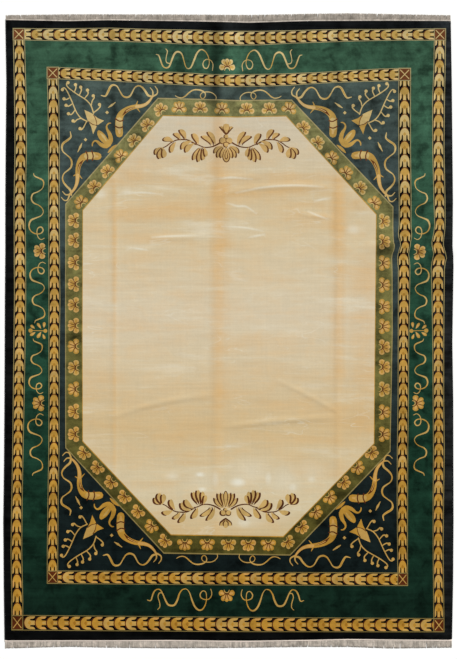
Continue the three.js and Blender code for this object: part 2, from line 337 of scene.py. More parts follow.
def bothSides(half):
    return half + [(u, -v) for u, v in half[::-1] if abs(v) > 1e-6]


def layLeaf(placeLeaf, tipName):
    body, edge, glow = shade.choice([("gold", "straw", "deepGold")] * 5 + [("straw", "straw", "gold")] * 2
                                    + [("gold", "peach", "gold")] * 3)
    paint(body, placeLeaf(bothSides(leaf["body"])))
    paint(glow, placeLeaf(bothSides(leaf["glow"])))
    for flip in (1, -1):
        paint(edge, placeLeaf([(u, v * flip) for u, v in leaf["edge"]]))
    paint("straw", placeLeaf(bothSides(leaf["heart"])))
    paint("rust", placeLeaf(bothSides(leaf[tipName])))


def runAlongSide(run):
    outer, inner = run["ring"] + "Out", run["ring"] + "In"
    low, high = (outer, inner) if run["ring"].startswith("left") else (inner, outer)
    size = run["ring"].replace("left", "").replace("right", "")
    middleX = float(sideLine(low, 0.0))
    top = float(endLine("head" + size + "In", middleX)) + tuckUnder
    bottom = float(endLine("foot" + size + "In", middleX)) - tuckUnder
    y = run["first"] + float(readTable(sidePitch, "along", "pitch", run["first"]))
    while y > bottom + tuckUnder:
        pitch = float(readTable(sidePitch, "along", "pitch", y))

        def placeLeaf(points, tip=y, step=pitch):
            points = np.array(points)
            ys = np.clip(tip + points[:, 0] * step, bottom, top)
            a, b = sideLine(low, ys) + lineWidth, sideLine(high, ys) - lineWidth
            return np.stack([(a + b) / 2 + points[:, 1] * leaf["sideFill"] * (b - a) / 2, ys], axis=1)

        layLeaf(placeLeaf, "shortTip")
        y -= pitch


def runAlongEnd(run):
    lines = (run["ring"] + "Out", run["ring"] + "In")
    low, high = sorted(lines, key=lambda name: float(endLine(name, 0.0)))
    size = run["ring"].replace("head", "").replace("foot", "")
    middleY = float(endLine(low, 0.0))
    left = float(sideLine("left" + size + "In", middleY)) - tuckUnder
    right = float(sideLine("right" + size + "In", middleY)) + tuckUnder
    x = run["first"] - run["pitch"][0]
    while x < right - tuckUnder:
        share = (x - left) / (right - left)
        pitch = float(np.interp(share, np.linspace(0, 1, len(run["pitch"])), run["pitch"]))

        def placeLeaf(points, tip=x, step=pitch):
            points = np.array(points)
            xs = np.clip(tip - points[:, 0] * step, left, right)
            a, b = endLine(low, xs) + lineWidth, endLine(high, xs) - lineWidth
            return np.stack([xs, (a + b) / 2 + points[:, 1] * leaf["endFill"] * (b - a) / 2], axis=1)

        layLeaf(placeLeaf, "longTip")
        x += pitch


for run in endRuns:
    runAlongEnd(run)
for run in sideRuns:
    runAlongSide(run)

# The square with a cross where two guards meet
crossSquare = {"line": 5.5, "redShare": 0.86, "crossShare": 0.7}
for ring in ("Outer", "Inner"):
    for side in ("left", "right"):
        for end in ("head", "foot"):
            a = np.array(meetOf(side + ring + "Out", end + ring + "Out"))
            b = np.array(meetOf(side + ring + "In", end + ring + "In"))
            corners = np.array([a, (b[0], a[1]), b, (a[0], b[1])])
            middle = (a + b) / 2
            paint("khaki", corners)
            paint("rust", middle + (corners - middle) * crossSquare["redShare"])
            tips = middle + (corners - middle) * crossSquare["crossShare"]
            for line in (tips[::2], tips[1::2]):
                paint("straw", band(line, [crossSquare["line"]] * 2, 1, roundEnds=False))
print("guards laid out:", len(painted), "outlines")

# The eight-sided olive band round the field
octagon = {
    "outer": [(-1111, 865), (-481, 1587), (-220, 1581), (46, 1572), (240, 1574), (431, 1575),
              (1123, 846), (1122, 722), (1124, 640), (1126, 605), (1132, 580), (1128, 551), (1117, 522),
              (1114, 495), (1117, 400), (1118, 0), (1103, -822), (421, -1530), (0, -1524), (-441, -1517),
              (-1111, -798), (-1112, 0)],
    "inner": [(-990, 820), (-445, 1462), (-200, 1458), (60, 1452), (240, 1456), (392, 1459),
              (1004, 791), (996, 0), (989, -766), (372, -1398), (0, -1392), (-391, -1385),
              (-991, -750), (-993, 0)],
    "middle": (3, 25),
    "outerHalf": 1110,     # half its width, outside and inside
    "innerHalf": 1000,
    "outerLine": 6.0,
    "innerLine": 5.0,
}
middle = np.array(octagon["middle"])
outer, inner = np.array(octagon["outer"], float), np.array(octagon["inner"], float)
paint("khaki", outer)
paint("olive", middle + (outer - middle) * (1 - octagon["outerLine"] / octagon["outerHalf"]))
paint("gold", middle + (inner - middle) * (1 + octagon["innerLine"] / octagon["innerHalf"]))
paint("cream", inner)

# One flower head of five petals and two small horns, in squares, opening upwards
flower = {
    "petals": [  # base, tip, width, where it is widest
        ((-1.2, -0.9), (-8.2, -1.9), 6.1, 0.62), ((1.2, -0.9), (8.2, -1.9), 6.1, 0.62),
        ((-1.0, 0.0), (-4.9, 6.4), 4.9, 0.64), ((1.0, 0.0), (4.9, 6.4), 4.9, 0.64),
        ((0, 0.0), (0, 7.6), 4.5, 0.68),
    ],
    "heartLength": 0.8,
    "heartWidth": 0.44,
    "slantSize": 0.9,      # the flowers along the slants are drawn a little smaller
    "straightSize": 0.94,
    "borderSize": 0.97,
    "arch": [(-2.6, -4.7), (-2.2, -3.3), (-1.2, -2.2), (0, -1.9), (1.2, -2.2), (2.2, -3.3), (2.6, -4.7)],
    "cup": [(-3.4, -3.5), (-2.7, -1.9), (-1.4, -0.8), (0, -0.5), (1.4, -0.8), (2.7, -1.9), (3.4, -3.5)],
    "veins": [[(-0.6, -0.2), (-1.3, 2.9), (-2.5, 5.8)], [(0.6, -0.2), (1.3, 2.9), (2.5, 5.8)],
              [(-1.6, -0.4), (-3.6, 1.0), (-5.8, 1.1)], [(1.6, -0.4), (3.6, 1.0), (5.8, 1.1)]],
}


def layFlower(at, opens, grow):
    scale, turn = square * grow, math.radians(opens - 90)
    outer, inner = shade.choice([("peach", "gold")] * 3 + [("straw", "gold"), ("gold", "peach")])
    for base, tip, width, fullAt in flower["petals"]:
        paint(outer, put(petal(base, tip, width, 0.0, fullAt), at, turn, scale))
    for base, tip, width, fullAt in flower["petals"]:
        end = np.array(base) + (np.array(tip) - base) * flower["heartLength"]
        paint(inner, put(petal(base, end, width * flower["heartWidth"]), at, turn, scale))
    for line in flower["veins"]:
        paint("rust", put(band(line, [0.9, 0.75, 0.45], 2), at, turn, scale))
    paint("rust", put(band(flower["cup"], [0.5, 0.9, 0.9, 0.9, 0.5], 2), at, turn, scale))
    paint("straw", put(band(flower["arch"], [0.6, 0.9, 1.0, 0.9, 0.6], 2), at, turn, scale))


# Flowers in the olive band: in rows along the slants, by first and last centre, and one by one
# along the straight sides
flowerRows = [
    {"first": (-1004, 875), "last": (-461, 1505), "count": 7, "opens": 131},
    {"first": (510, 1383), "last": (994, 871), "count": 6, "opens": 46},
    {"first": (975, -830), "last": (404, -1437), "count": 7, "opens": -43},
    {"first": (-431, -1428), "last": (-983, -830), "count": 7, "opens": -134},
]
for row in flowerRows:
    first, last = np.array(row["first"], float), np.array(row["last"], float)
    for i in range(row["count"]):
        layFlower(first + (last - first) * (i / (row["count"] - 1)), row["opens"], flower["slantSize"])
leftHeights = (752, 617, 465, 318, 177, 36, -105, -251, -397, -548, -704)
rightHeights = (747, 606, 462, 312, 165, 31, -110, -246, -397, -553, -704)
looseFlowers = [
    {"opens": 90, "spots": [(-336, 1516), (-193, 1514), (-44, 1508), (124, 1506), (278, 1508)]},
    {"opens": 74, "spots": [(413, 1512)]},
    {"opens": -90, "spots": [(-298, -1448), (-145, -1448), (0, -1450), (135, -1452), (271, -1452)]},
    {"opens": 180, "spots": [(-1047, y) for y in leftHeights]},
    {"opens": 0, "spots": [(1054, y) for y in rightHeights]},
]
for group in looseFlowers:
    for at in group["spots"]:
        layFlower(at, group["opens"], flower["straightSize"])

# Flower heads in the green border, and the ribbons that flutter beside them, in squares
borderFlowers = [
    {"at": (-9, 1804), "opens": 90}, {"at": (-12, -1795), "opens": -90},
    {"at": (-1278, 544), "opens": 180}, {"at": (-1286, -492), "opens": 180},
    {"at": (1293, 537), "opens": 0}, {"at": (1284, -492), "opens": 0},
]
for spot in borderFlowers:
    layFlower(spot["at"], spot["opens"], flower["borderSize"])

headRibbon = {
    "line": [(-71, 11.5), (-68.5, 10.5), (-66.5, 5), (-64.5, 0), (-61.5, -2), (-58, -0.5), (-55, 7),
             (-52.5, 12.5), (-49, 14.2), (-45.5, 12), (-43.5, 6), (-41.5, -0.8), (-39, -2.8),
             (-36, -1), (-33, 6), (-30, 13), (-26, 16.4), (-21.5, 14), (-18.5, 8), (-18, 2),
             (-20, -2.3), (-23, -1.8), (-24.3, 1.8), (-23, 5.2), (-20, 6.6), (-16.5, 5.6),
             (-14.2, 1.5), (-14.8, -4.5)],
    "widths": [0.7, 1.3, 1.6, 1.2, 1.6, 1.9, 2.1, 2.1, 1.6, 1.0, 0.7, 1.2, 1.9, 2.1, 1.6, 0.9, 0.9,
               0.9, 1.3, 1.2, 0.9, 1.0, 0.9, 1.0, 0.8],
    "tail": [(-61.4, 17), (-59.8, 14.6), (-60.8, 10), (-61.3, 5.5), (-60, 3), (-56.8, 2.4)],
    "tailWidths": [0.8, 1.2, 0.9, 0.8, 1.1, 1.2],
}
footRibbon = {
    "line": [(-79.5, -5.5), (-76, -6), (-74, 0), (-71.5, 4.2), (-67.5, 5.2), (-64.5, 1.5),
             (-61, -6.5), (-58, -10.6), (-52.5, -10.6), (-49.2, -5), (-47.5, 0.5), (-44.5, 4.8),
             (-40.5, 5.6), (-37.3, 2), (-35, -5), (-32, -12), (-28, -15.6), (-24, -14.5),
             (-21, -9), (-20.2, -2.5), (-21, 2.4), (-24, 3.6), (-26.6, 0.5), (-25.8, -3.2),
             (-22, -5), (-18, -4.6), (-15.4, -1.5), (-15, 2), (-16, 5.5)],
    "widths": [0.8, 1.4, 1.7, 1.0, 1.4, 1.9, 2.1, 2.2, 1.8, 0.9, 0.7, 1.3, 2.0, 2.0, 1.5, 0.9, 0.9,
               1.0, 1.4, 1.2, 1.0, 1.2, 1.0, 0.7],
    "tail": [(-64.8, 1.6), (-67.5, 1.4), (-68.8, -2.5), (-67.2, -8), (-67, -12.5), (-69.2, -15)],
    "tailWidths": [1.2, 1.2, 0.9, 1.1, 0.9, 0.6],
}
sideRibbon = {
    "line": [(-7.2, 77.5), (-6.2, 75), (-2, 73), (1.8, 71), (3, 67.5), (1.5, 62.5), (-3, 59.2), (-8, 57),
             (-9.4, 52), (-7, 48), (-2.5, 46), (1.2, 43), (2.6, 39), (0.2, 35.2), (-5, 33),
             (-10, 30.5), (-11.8, 25), (-9.8, 19.8), (-5, 17.2), (0, 17.6), (2.4, 20.8), (0.4, 24),
             (-2.8, 22.8), (-3.9, 18.5), (-2.6, 13.6), (0.4, 11.4), (3.6, 12.8)],
    "widths": [0.7, 1.3, 1.6, 1.4, 0.8, 1.2, 1.7, 1.6, 0.9, 0.7, 0.8, 1.3, 2.1, 1.7, 0.9, 1.1, 1.4, 1.4,
               1.2, 0.9, 0.9, 0.7],
}
stripRibbon = {
    "line": [(-52, -3.5), (-49.5, -5), (-46, -5.6), (-42.5, -4.4), (-38.5, -0.8), (-34.5, 1.9),
             (-30, 2.5), (-25.5, 1.6), (-22.2, -0.8), (-22, -4.2), (-24.4, -6.6), (-26.8, -4.4),
             (-25.8, -1.2), (-22.5, 0.1), (-17.5, 0.1), (-13.6, -1.6), (-11, -4.8), (-11.4, -8)],
    "widths": [0.7, 1.1, 1.2, 1.4, 1.4, 1.7, 1.6, 1.1, 0.9, 1.0, 0.9, 1.1, 1.1, 0.9, 0.8],
}
ribbonPlaces = [
    {"ribbon": headRibbon, "at": (-9, 1804), "flip": 1, "stretch": (1, 1)},
    {"ribbon": headRibbon, "at": (-9, 1800), "flip": -1, "stretch": (1.057, 1)},
    {"ribbon": footRibbon, "at": (-12, -1795), "flip": 1, "stretch": (1, 1)},
    {"ribbon": footRibbon, "at": (-12, -1799), "flip": -1, "stretch": (0.97, 1)},
    {"ribbon": sideRibbon, "at": (-1278, 544), "flip": 1, "stretch": (1, 1)},
    {"ribbon": sideRibbon, "at": (-1271, 539), "flip": 1, "stretch": (1, -0.92)},
    {"ribbon": sideRibbon, "at": (-1286, -492), "flip": 1, "stretch": (0.9, 0.83)},
    {"ribbon": sideRibbon, "at": (-1286, -492), "flip": 1, "stretch": (1, -0.935)},
    {"ribbon": sideRibbon, "at": (1290, 544), "flip": -1, "stretch": (1, 1)},
    {"ribbon": sideRibbon, "at": (1288, 534), "flip": -1, "stretch": (0.96, -0.92)},
    {"ribbon": sideRibbon, "at": (1284, -492), "flip": -1, "stretch": (0.9, 0.83)},
    {"ribbon": sideRibbon, "at": (1284, -492), "flip": -1, "stretch": (1, -0.935)},
    {"ribbon": stripRibbon, "at": (-9, 1625), "flip": 1, "stretch": (1, 1)},
    {"ribbon": stripRibbon, "at": (5, 1622), "flip": -1, "stretch": (1, 1)},
    {"ribbon": stripRibbon, "at": (0, -1573), "flip": 1, "stretch": (1, -1)},
    {"ribbon": stripRibbon, "at": (-2, -1576), "flip": -1, "stretch": (1, -1)},
]
ribbonTwist = {"first": 2, "every": 7, "length": 4, "share": 0.72, "ends": 0.3, "width": 0.86}


def layRibbon(line, widths, place):    # deeper gold where it turns over
    points = np.array(line, float) * place["stretch"] * (place["flip"], 1) * square + place["at"]
    widths = np.array(widths) * square * ribbonTwist["width"]
    paint("straw", band(points, widths))
    for start in range(ribbonTwist["first"], len(points) - ribbonTwist["length"], ribbonTwist["every"]):
        part = points[start:start + ribbonTwist["length"]]
        here = np.interp(start / len(points), np.linspace(0, 1, len(widths)), widths)
        low, high = here * ribbonTwist["ends"], here * ribbonTwist["share"]
        paint("gold", band(part, [low, high, low]))


for place in ribbonPlaces:
    ribbon = place["ribbon"]
    layRibbon(ribbon["line"], ribbon["widths"], place)
    if "tail" in ribbon:
        layRibbon(ribbon["tail"], ribbon["tailWidths"], place)

# The small palmette halfway down each side: paired leaves along a lying stem
palmette = {
    "places": [((-1297, 2), 1), ((1296, 2), -1)],
    "innerLength": 0.75,
    "innerWidth": 0.5,
    "spots": [((-7.4, 0), 2.2), ((7.4, -0.3), 2.0)],
    "stem": [(-6, 0), (0, -0.1), (6, -0.3)],
    "drops": [((-3.2, 2.0), (-7.4, 5.4), 2.8), ((3.1, 1.9), (-0.7, 7.6), 2.8),
              ((5.9, 2.9), (6.4, 8.5), 3.0), ((-2.6, -1.7), (-7.9, -4.9), 3.0),
              ((3.1, -1.4), (-0.7, -7.4), 3.4), ((4.8, -3.5), (6.8, -8.5), 2.7)],
}
for at, flip in palmette["places"]:
    for base, tip, width in palmette["drops"]:
        paint("gold", put(petal(base, tip, width, 0.0, 0.7), at, 0, square, flip))
        inner = np.array(base) + (np.array(tip) - base) * palmette["innerLength"]
        paint("peach", put(petal(base, inner, width * palmette["innerWidth"]), at, 0, square, flip))
    paint("gold", put(band(palmette["stem"], [0.7, 0.6, 0.7], 2), at, 0, square, flip))
    for centre, radius in palmette["spots"]:
        paint("gold", put(disc(centre, radius, 9), at, 0, square, flip))

# The corner pieces, drawn once in hundredths of their panel from its outer corner. Most of a
# corner lies on one side of the panel's slant, and is turned over it for the other side. The
# weavers set each part a little differently, so a panel says how far its parts are moved.
cornerPanels = [
    {"corner": (-1147, 1710), "size": (682, -845), "tulip": (-1.4, 1.4), "star": (0, 0), "arms": "straw",
     "plain": {},
     "turned": {"horn": (-5.7, 2.4), "hornEnd": (-3.9, 0), "ribbon": (-2.4, 0.9), "spot": (-1, 1.3),
                "dash": (-0.5, 2.9)}},
    {"corner": (1160, 1703), "size": (-729, -845), "tulip": (2, 0), "star": (0.3, -0.9),
     "plain": {"horn": (2.3, -0.6), "hornEnd": (2.7, 0), "ribbon": (3.2, 0.5), "sprig": (3.2, 0),
               "spot": (3.5, -0.6), "dash": (4.4, -0.5)},
     "turned": {"horn": (-2.4, 1), "hornEnd": (-2.7, 0), "ribbon": (-1.1, 0.9), "sprig": (1.6, 0.6),
                "spot": (0.8, -0.8), "dash": (-2.9, 1.4)}},
    {"corner": (-1154, -1634), "size": (716, 832), "tulip": (0, 2.6), "star": (-1.4, 1.7),
     "plain": {"horn": (-0.5, 1.4), "hornEnd": (0, 0.9), "ribbon": (1, 0), "sprig": (1.8, 1.2),
               "spot": (3.1, 2.7), "dash": (4.5, 1.2)},
     "turned": {"horn": (-4.9, 2.5), "hornEnd": (-1.8, -0.4), "ribbon": (-2.2, 0), "length": 0.91,
                "sprig": (0, 4.7), "spot": (-5.4, 4.7), "dash": (-2.4, 5.4)}},
    {"corner": (1150, -1647), "size": (-736, 818), "tulip": (0, 2.1), "star": (0.5, 1),
     "plain": {"horn": (0.3, 0.7), "hornEnd": (2, 0.8), "ribbon": (2.6, 0), "sprig": (2.6, 1.9),
               "spot": (2, 2.7), "dash": (4.2, 0.6)},
     "turned": {"horn": (-1.7, 2.9), "hornEnd": (-0.6, 0.4), "ribbon": (0, 0), "length": 0.95,
                "sprig": (1.6, 3.3), "spot": (-1.3, 4.4), "dash": (-2.4, 3.8)}},
]
cornerSprig = {
    "stem": [(33.5, 27), (31, 21), (27, 17), (23, 14.6), (17, 11.6), (11, 8.2), (7.2, 5.4), (6.6, 3.2),
             (8, 2.4)],
    "stemWidths": [1.2, 1.2, 1.1, 1.1, 1.1, 1.1, 1.1, 1.3, 1.4],
    "twigs": [
        [(14.5, 9.6), (15.9, 6.4), (15.4, 4)], [(19.2, 12.6), (21.3, 8.6), (20.6, 6)],
        [(24.5, 15), (28, 11.4), (27.4, 8.4)], [(31.2, 20.6), (32.2, 17), (34.2, 14.4), (33.2, 13)],
        [(33.5, 26.6), (38.2, 23.6), (40.2, 21.4), (39.4, 20)],
    ],
    "knob": 1.7,
    "head": [(24.3, 24.3), (29.6, 26.2), (33.4, 27.8), (36.2, 31.2), (37.4, 34.4), (36.6, 36.6)],
    "arm": [(33.8, 28.6), (38.2, 31.2), (44, 33), (40.6, 34.9), (37.4, 36.7), (36.2, 33)],
    "armRoot": [(33.6, 28.6), (35.8, 32), (36.8, 36.6)],
    "petal": [(49, 51.5), (52, 47.5), (51, 42.5), (48.4, 38.6), (48, 35.8), (50, 33.8), (52, 33.6)],
    "petalWidths": [4.4, 4.8, 3.8, 2.2, 1.5, 1.4, 0.9],
    "spot": (47, 26.4),
    "spotRadius": 1.8,
    "dash": [(48.2, 22.4), (51.5, 20.6), (55.4, 18.2)],
}
horn = {
    "line": [(59.3, 43.6), (59, 40.6), (58.8, 36.8), (59, 32.5), (60.6, 28.4), (64.5, 25.2), (70, 22.8),
             (76.5, 21.6), (81, 21.2), (86, 19.6), (90, 16.4), (92.6, 13)],
    "widths": [7.2, 7.5, 7.4, 7.2, 6.6, 5.6, 4.8, 4.2, 3.8, 3.0, 2.3, 1.8],
    "shine": [(59.4, 43), (59.2, 40.4), (59.2, 39.4)],
    "cuff": [(58.8, 38.2), (58.9, 35.4), (59.2, 32.8)],
    "hoops": [((55, 37.4), (59, 38.8), (62.6, 38)), ((55.4, 31.6), (59.4, 33.4), (63, 32.8))],
    "slit": [(62.6, 28.6), (66, 25.4), (70, 23.4), (75, 22.2)],
    "thorns": [[(76.2, 20), (77.6, 17.2)], [(77, 23), (79.8, 26)]],
    "forks": [[(92.6, 13.4), (92.6, 9.4), (90, 6.4)],
              [(92.8, 13.4), (96.8, 11.4), (97.2, 8.2), (94.8, 5.2)]],
    "bendsFrom": 63,    # from here to there the shift of the mouth gives way to that of the tip
    "bendsTo": 78,
    "ribbon": [(92, 13.6), (88, 12.6), (84.8, 8.8), (81.5, 5.8), (78, 4.9), (74.5, 6.6), (72, 10.4),
               (69.8, 13.2), (66, 14.2), (62.5, 12.8), (59.6, 9), (57, 5.4), (53.4, 4.3), (50.4, 5.6),
               (48, 9.6), (45.2, 13.2), (41, 12.6)],
    "ribbonWidths": [1.8, 2.2, 1.9, 1.5, 1.2, 1.1, 1.4, 1.7, 1.8, 1.4, 1.0, 1.2, 1.9, 2.1, 2.1, 1.7, 0.8],
    "twists": (2, 7, 12),    # where the ribbon turns over, each four points long
    "twistWidth": 0.7,
}
tulipBody = [(40.5, 39.4), (43.8, 41), (47, 43.8), (50, 47.8), (52, 51.3), (51.4, 52.1), (48.8, 51.6),
             (44.6, 49.6), (40.8, 46.4), (38.8, 43.2), (38.7, 40.3)]
tulipLight = [(42, 42), (45, 44.6), (47.4, 47.8)]
nearLeaf = [(48.2, 58.4), (50.2, 55.2), (53.4, 52.8), (57.4, 51.6), (54.6, 54.6), (51.2, 57.2)]


def asDrawn(points):
    return points


def mirrored(points):
    return [(b, a) for a, b in points]


for panel in cornerPanels:
    corner, size = np.array(panel["corner"], float), np.array(panel["size"], float) / 100
    tulip, star = panel["tulip"], panel["star"]

    def place(points, shift=(0, 0)):
        return corner + (np.array(points, float) + shift) * size

    def stroke(yarn, points, widths, shift=(0, 0), perSpan=3):
        paint(yarn, band(place(points, shift), np.array(widths) * square, perSpan))

    for turned, moves in ((asDrawn, panel["plain"]), (mirrored, panel["turned"])):
        hornShift, tipShift, ribbonShift, sprigShift, spotShift, dashShift = (
            np.array(moves.get(key, (0, 0)), float)
            for key in ("horn", "hornEnd", "ribbon", "sprig", "spot", "dash"))

        def alongHorn(points):    # the mouth and the tip of a horn are moved on their own
            reach = np.array(points, float)[:, 0]
            share = np.interp(reach, [horn["bendsFrom"], horn["bendsTo"]], [0, 1])[:, None]
            return hornShift * (1 - share) + tipShift * share

        first = horn["ribbon"][0][0]
        tight = [(first + (a - first) * moves.get("length", 1), b) for a, b in horn["ribbon"]]
        stroke("straw", turned(tight), horn["ribbonWidths"], ribbonShift, 4)
        for start in horn["twists"]:
            high = horn["ribbonWidths"][start + 1] * horn["twistWidth"]
            low = high * ribbonTwist["ends"]
            stroke("gold", turned(tight[start:start + 4]), [low, high, low], ribbonShift)
        for line in horn["forks"]:
            stroke("straw", turned(line), [1.7, 1.2, 0.7], tipShift)
        for line in horn["thorns"]:
            stroke("gold", turned(line), [1.6, 0.6], tipShift, 1)
        for yarn, part, widths in (
                ("gold", horn["line"], horn["widths"]),
                ("peach", horn["shine"], [2.0, 3.0, 2.0]),
                ("straw", horn["cuff"], [6.4, 6.6, 6.4]),
                ("peach", horn["line"][7:], [3.2, 2.6, 2.4, 1.9, 1.4]),
                ("rust", horn["slit"], [0.7, 2.6, 2.0, 0.6]),
                ("peach", horn["slit"][1:], [0.8, 0.7, 0.3])):
            stroke(yarn, turned(part), widths, alongHorn(part))
        for line in horn["hoops"]:
            stroke("rust", turned(line), [1.3, 1.2, 1.3], alongHorn(line))
        stroke("straw", turned(cornerSprig["stem"]), cornerSprig["stemWidths"], sprigShift)
        for line in cornerSprig["twigs"]:
            stroke("straw", turned(line), [1.0, 1.2, 1.5], sprigShift)
        for line in [cornerSprig["stem"]] + cornerSprig["twigs"]:
            knob = place(turned([line[-1]]), sprigShift)[0]
            paint("straw", disc(knob, cornerSprig["knob"] * square, 8))
        stroke("gold", turned(cornerSprig["petal"]), cornerSprig["petalWidths"], tulip)
        spot = place(turned([cornerSprig["spot"]]), spotShift)[0]
        paint("straw", disc(spot, cornerSprig["spotRadius"] * square, 4))
        stroke("straw", turned(cornerSprig["dash"]), [0.6, 2.2, 0.6], dashShift)
    half = cornerSprig["head"]
    paint("straw", place(half + mirrored(half[1:-1])[::-1], star))
    for turned in (asDrawn, mirrored):
        paint(panel.get("arms", "gold"), place(turned(cornerSprig["arm"]), star))
        stroke("rust", turned(cornerSprig["armRoot"]), [0.7, 0.8, 0.5], star)
    paint("gold", smoothLine(place(tulipBody, tulip), 2, closed=True))
    stroke("straw", tulipLight, [0.8, 2.6, 0.8], tulip)
    paint("gold", smoothLine(place(nearLeaf, np.array(tulip) / 2), 2, closed=True))

# The leafy spray at each end of the field, in squares from its middle: leaf base, tip, width, bend
spray = {
    "leaves": [
        ((-11, -0.3), (-18.2, 13.3), 4.2, -1.6), ((-14, -0.3), (-24.2, 8.8), 4.3, -1.8),
        ((-28, 0.6), (-33.2, 11.4), 4.8, -0.9), ((-34.2, 3.6), (-44.6, -4.3), 5.0, -2.0),
        ((-32, 1.4), (-40.4, -7.4), 5.0, -1.4), ((-40.4, 5.4), (-46.2, 15.4), 4.6, -1.2),
        ((-45.8, 5.2), (-52, 11.6), 4.0, -1.2), ((-53, 3.4), (-62.8, 5.6), 4.9, -1.2),
        ((-50.4, 3), (-55, -7.8), 4.2, -1.0),
        ((-26, -2.6), (-32.6, -15.2), 3.7, -0.8), ((-24.6, -2.8), (-27.6, -17.2), 3.9, -0.5),
        ((-23.6, -2.8), (-23, -15.4), 4.0, 0.6), ((-22.4, -2.4), (-19.8, -11.8), 3.4, 0.6),
        ((-62.6, -3), (-71, -9.4), 5.2, -1.4), ((-63.6, -2.8), (-66.6, -14), 5.0, -0.8),
        ((-63.4, -3.2), (-62, -13), 4.6, 0.8),
    ],
    "stems": [[(-5.6, 2.2), (-9, 0.2), (-13, -1.6), (-18, -2.6), (-23, -2.4), (-27.5, -0.4), (-31, 0.6)],
              [(-31, 0.6), (-35, 3), (-39.5, 5), (-45, 5.2), (-50, 4.6), (-55.5, 2), (-60, -1.4),
               (-63.4, -3)]],
    "stemWidths": [1.6, 1.4, 1.2, 1.1, 1.0],
    "shadeOffset": (-1.6, -0.45),      # the brown shade of a leaf, aside from its gold
    "petalShade": (-1.4, -0.4),
    "lobeShade": (-0.6, -0.3),
    "lobeEdge": 0.5,
}
# Its middle differs: at the head a bloom over a fan, at the foot a fan over two buds and a small bloom
sprayMiddles = {
    "head": {
        "petals": [((-3.0, -1.0), (-11.6, -8.3), 4.0, -1.4), ((-2.6, -1.8), (-8.4, -12.8), 4.0, -1.0),
                   ((-1.8, -2.2), (-4.8, -13.2), 3.4, -0.4)],
        "centre": [("brown", (0, -2.2), (0, -17.8), 8.0), ("honey", (0, -2.8), (0, -16.8), 6.2),
                   ("brown", (0, -5.4), (0, -14.8), 3.5), ("honey", (0, -6.6), (0, -13.8), 1.9)],
        "lobes": [((-3.3, 4.1), 3.1), ((3.3, 4.1), 3.0), ((0.2, 8.3), 2.0), ((0, 3.4), 2.4),
                  ((0, 0.2), 2.3)],
        "bloom": [(-6.8, 17.8), (-4.9, 18.6), (-3.4, 18), (-2.6, 20.4), (0, 21.2), (2.6, 20.4), (3.4, 18),
                  (4.9, 18.6), (6.8, 17.8), (0, 10.8)],
        "lines": [([(-6.8, 17.6), (-3.4, 14), (0, 10.9), (3.4, 14), (6.6, 17.2)],
                   [1.2, 1.8, 2.0, 1.3, 0.8]),
                  ([(-1.6, 13.4), (-3.2, 15.8), (-3.0, 18.2)], [0.6, 0.9, 0.5]),
                  ([(1.6, 13.4), (3.2, 15.8), (3.0, 18.2)], [0.5, 0.7, 0.5]),
                  ([(0, 6.6), (-0.4, 4.4), (0.2, 2.4)], [0.9, 0.8, 0.6]),
                  ([(-3.2, 1.4), (-1.2, 2.4), (1.2, 2.4), (3.2, 1.4)], [0.6, 0.8, 0.8, 0.6])],
    },
    "foot": {
        "petals": [((-1.6, 2.4), (-10.6, -7.6), 3.3, -1.4), ((-1.2, 1.8), (-7.2, -12.2), 3.2, -0.9),
                   ((-0.7, 1.4), (-3.5, -12.8), 2.7, -0.3)],
        "centre": [("brown", (0, 1.4), (0, -15), 5.0), ("honey", (0, 0.6), (0, -14.2), 3.2)],
        "lobes": [((-2.9, 7.0), 2.5), ((3.1, 7.0), 2.4), ((0, 3.8), 1.6), ((0.1, 7.4), 1.6)],
        "bloom": [(0, 13.2), (-3, 14.6), (-5.6, 17), (-6.2, 19.2), (-4.6, 20.4), (-2.8, 19.6), (-1.8, 21.6),
                  (0, 22.4), (1.8, 21.6), (2.8, 19.6), (4.6, 20.4), (6.2, 19.2), (5.6, 17), (3, 14.6)],
        "lines": [([(0, 12.8), (-3, 14.8), (-5.4, 16.8), (-6.2, 19.6)], [1.6, 1.8, 1.4, 0.6]),
                  ([(0, 12.8), (3, 14.8), (5.4, 16.8), (6.2, 19.6)], [1.6, 1.4, 1.1, 0.6]),
                  ([(-0.6, 15), (-2.4, 17), (-2.4, 20)], [0.9, 1.2, 0.9]),
                  ([(0.6, 15), (2.4, 17), (2.4, 20)], [0.9, 1.1, 0.9]),
                  ([(0.1, 4.8), (0.1, 6.8), (0.4, 8.8)], [0.9, 0.8, 0.6]),
                  ([(-5.2, 5.6), (-5, 8.4), (-3, 9.8), (-0.6, 9.6)], [1.0, 1.2, 1.1, 0.7]),
                  ([(5.2, 6.2), (4.8, 8.8), (3, 9.8), (0.8, 9.6)], [0.6, 0.8, 1.0, 0.7])],
    },
}
sprays = [{"at": (-15, 1267), "up": 1, "middle": "head", "shift": (0, 0), "shade": 1.0},
          {"at": (-19, -1191), "up": -1, "middle": "foot", "shift": (0, 1.2), "shade": 1.25}]
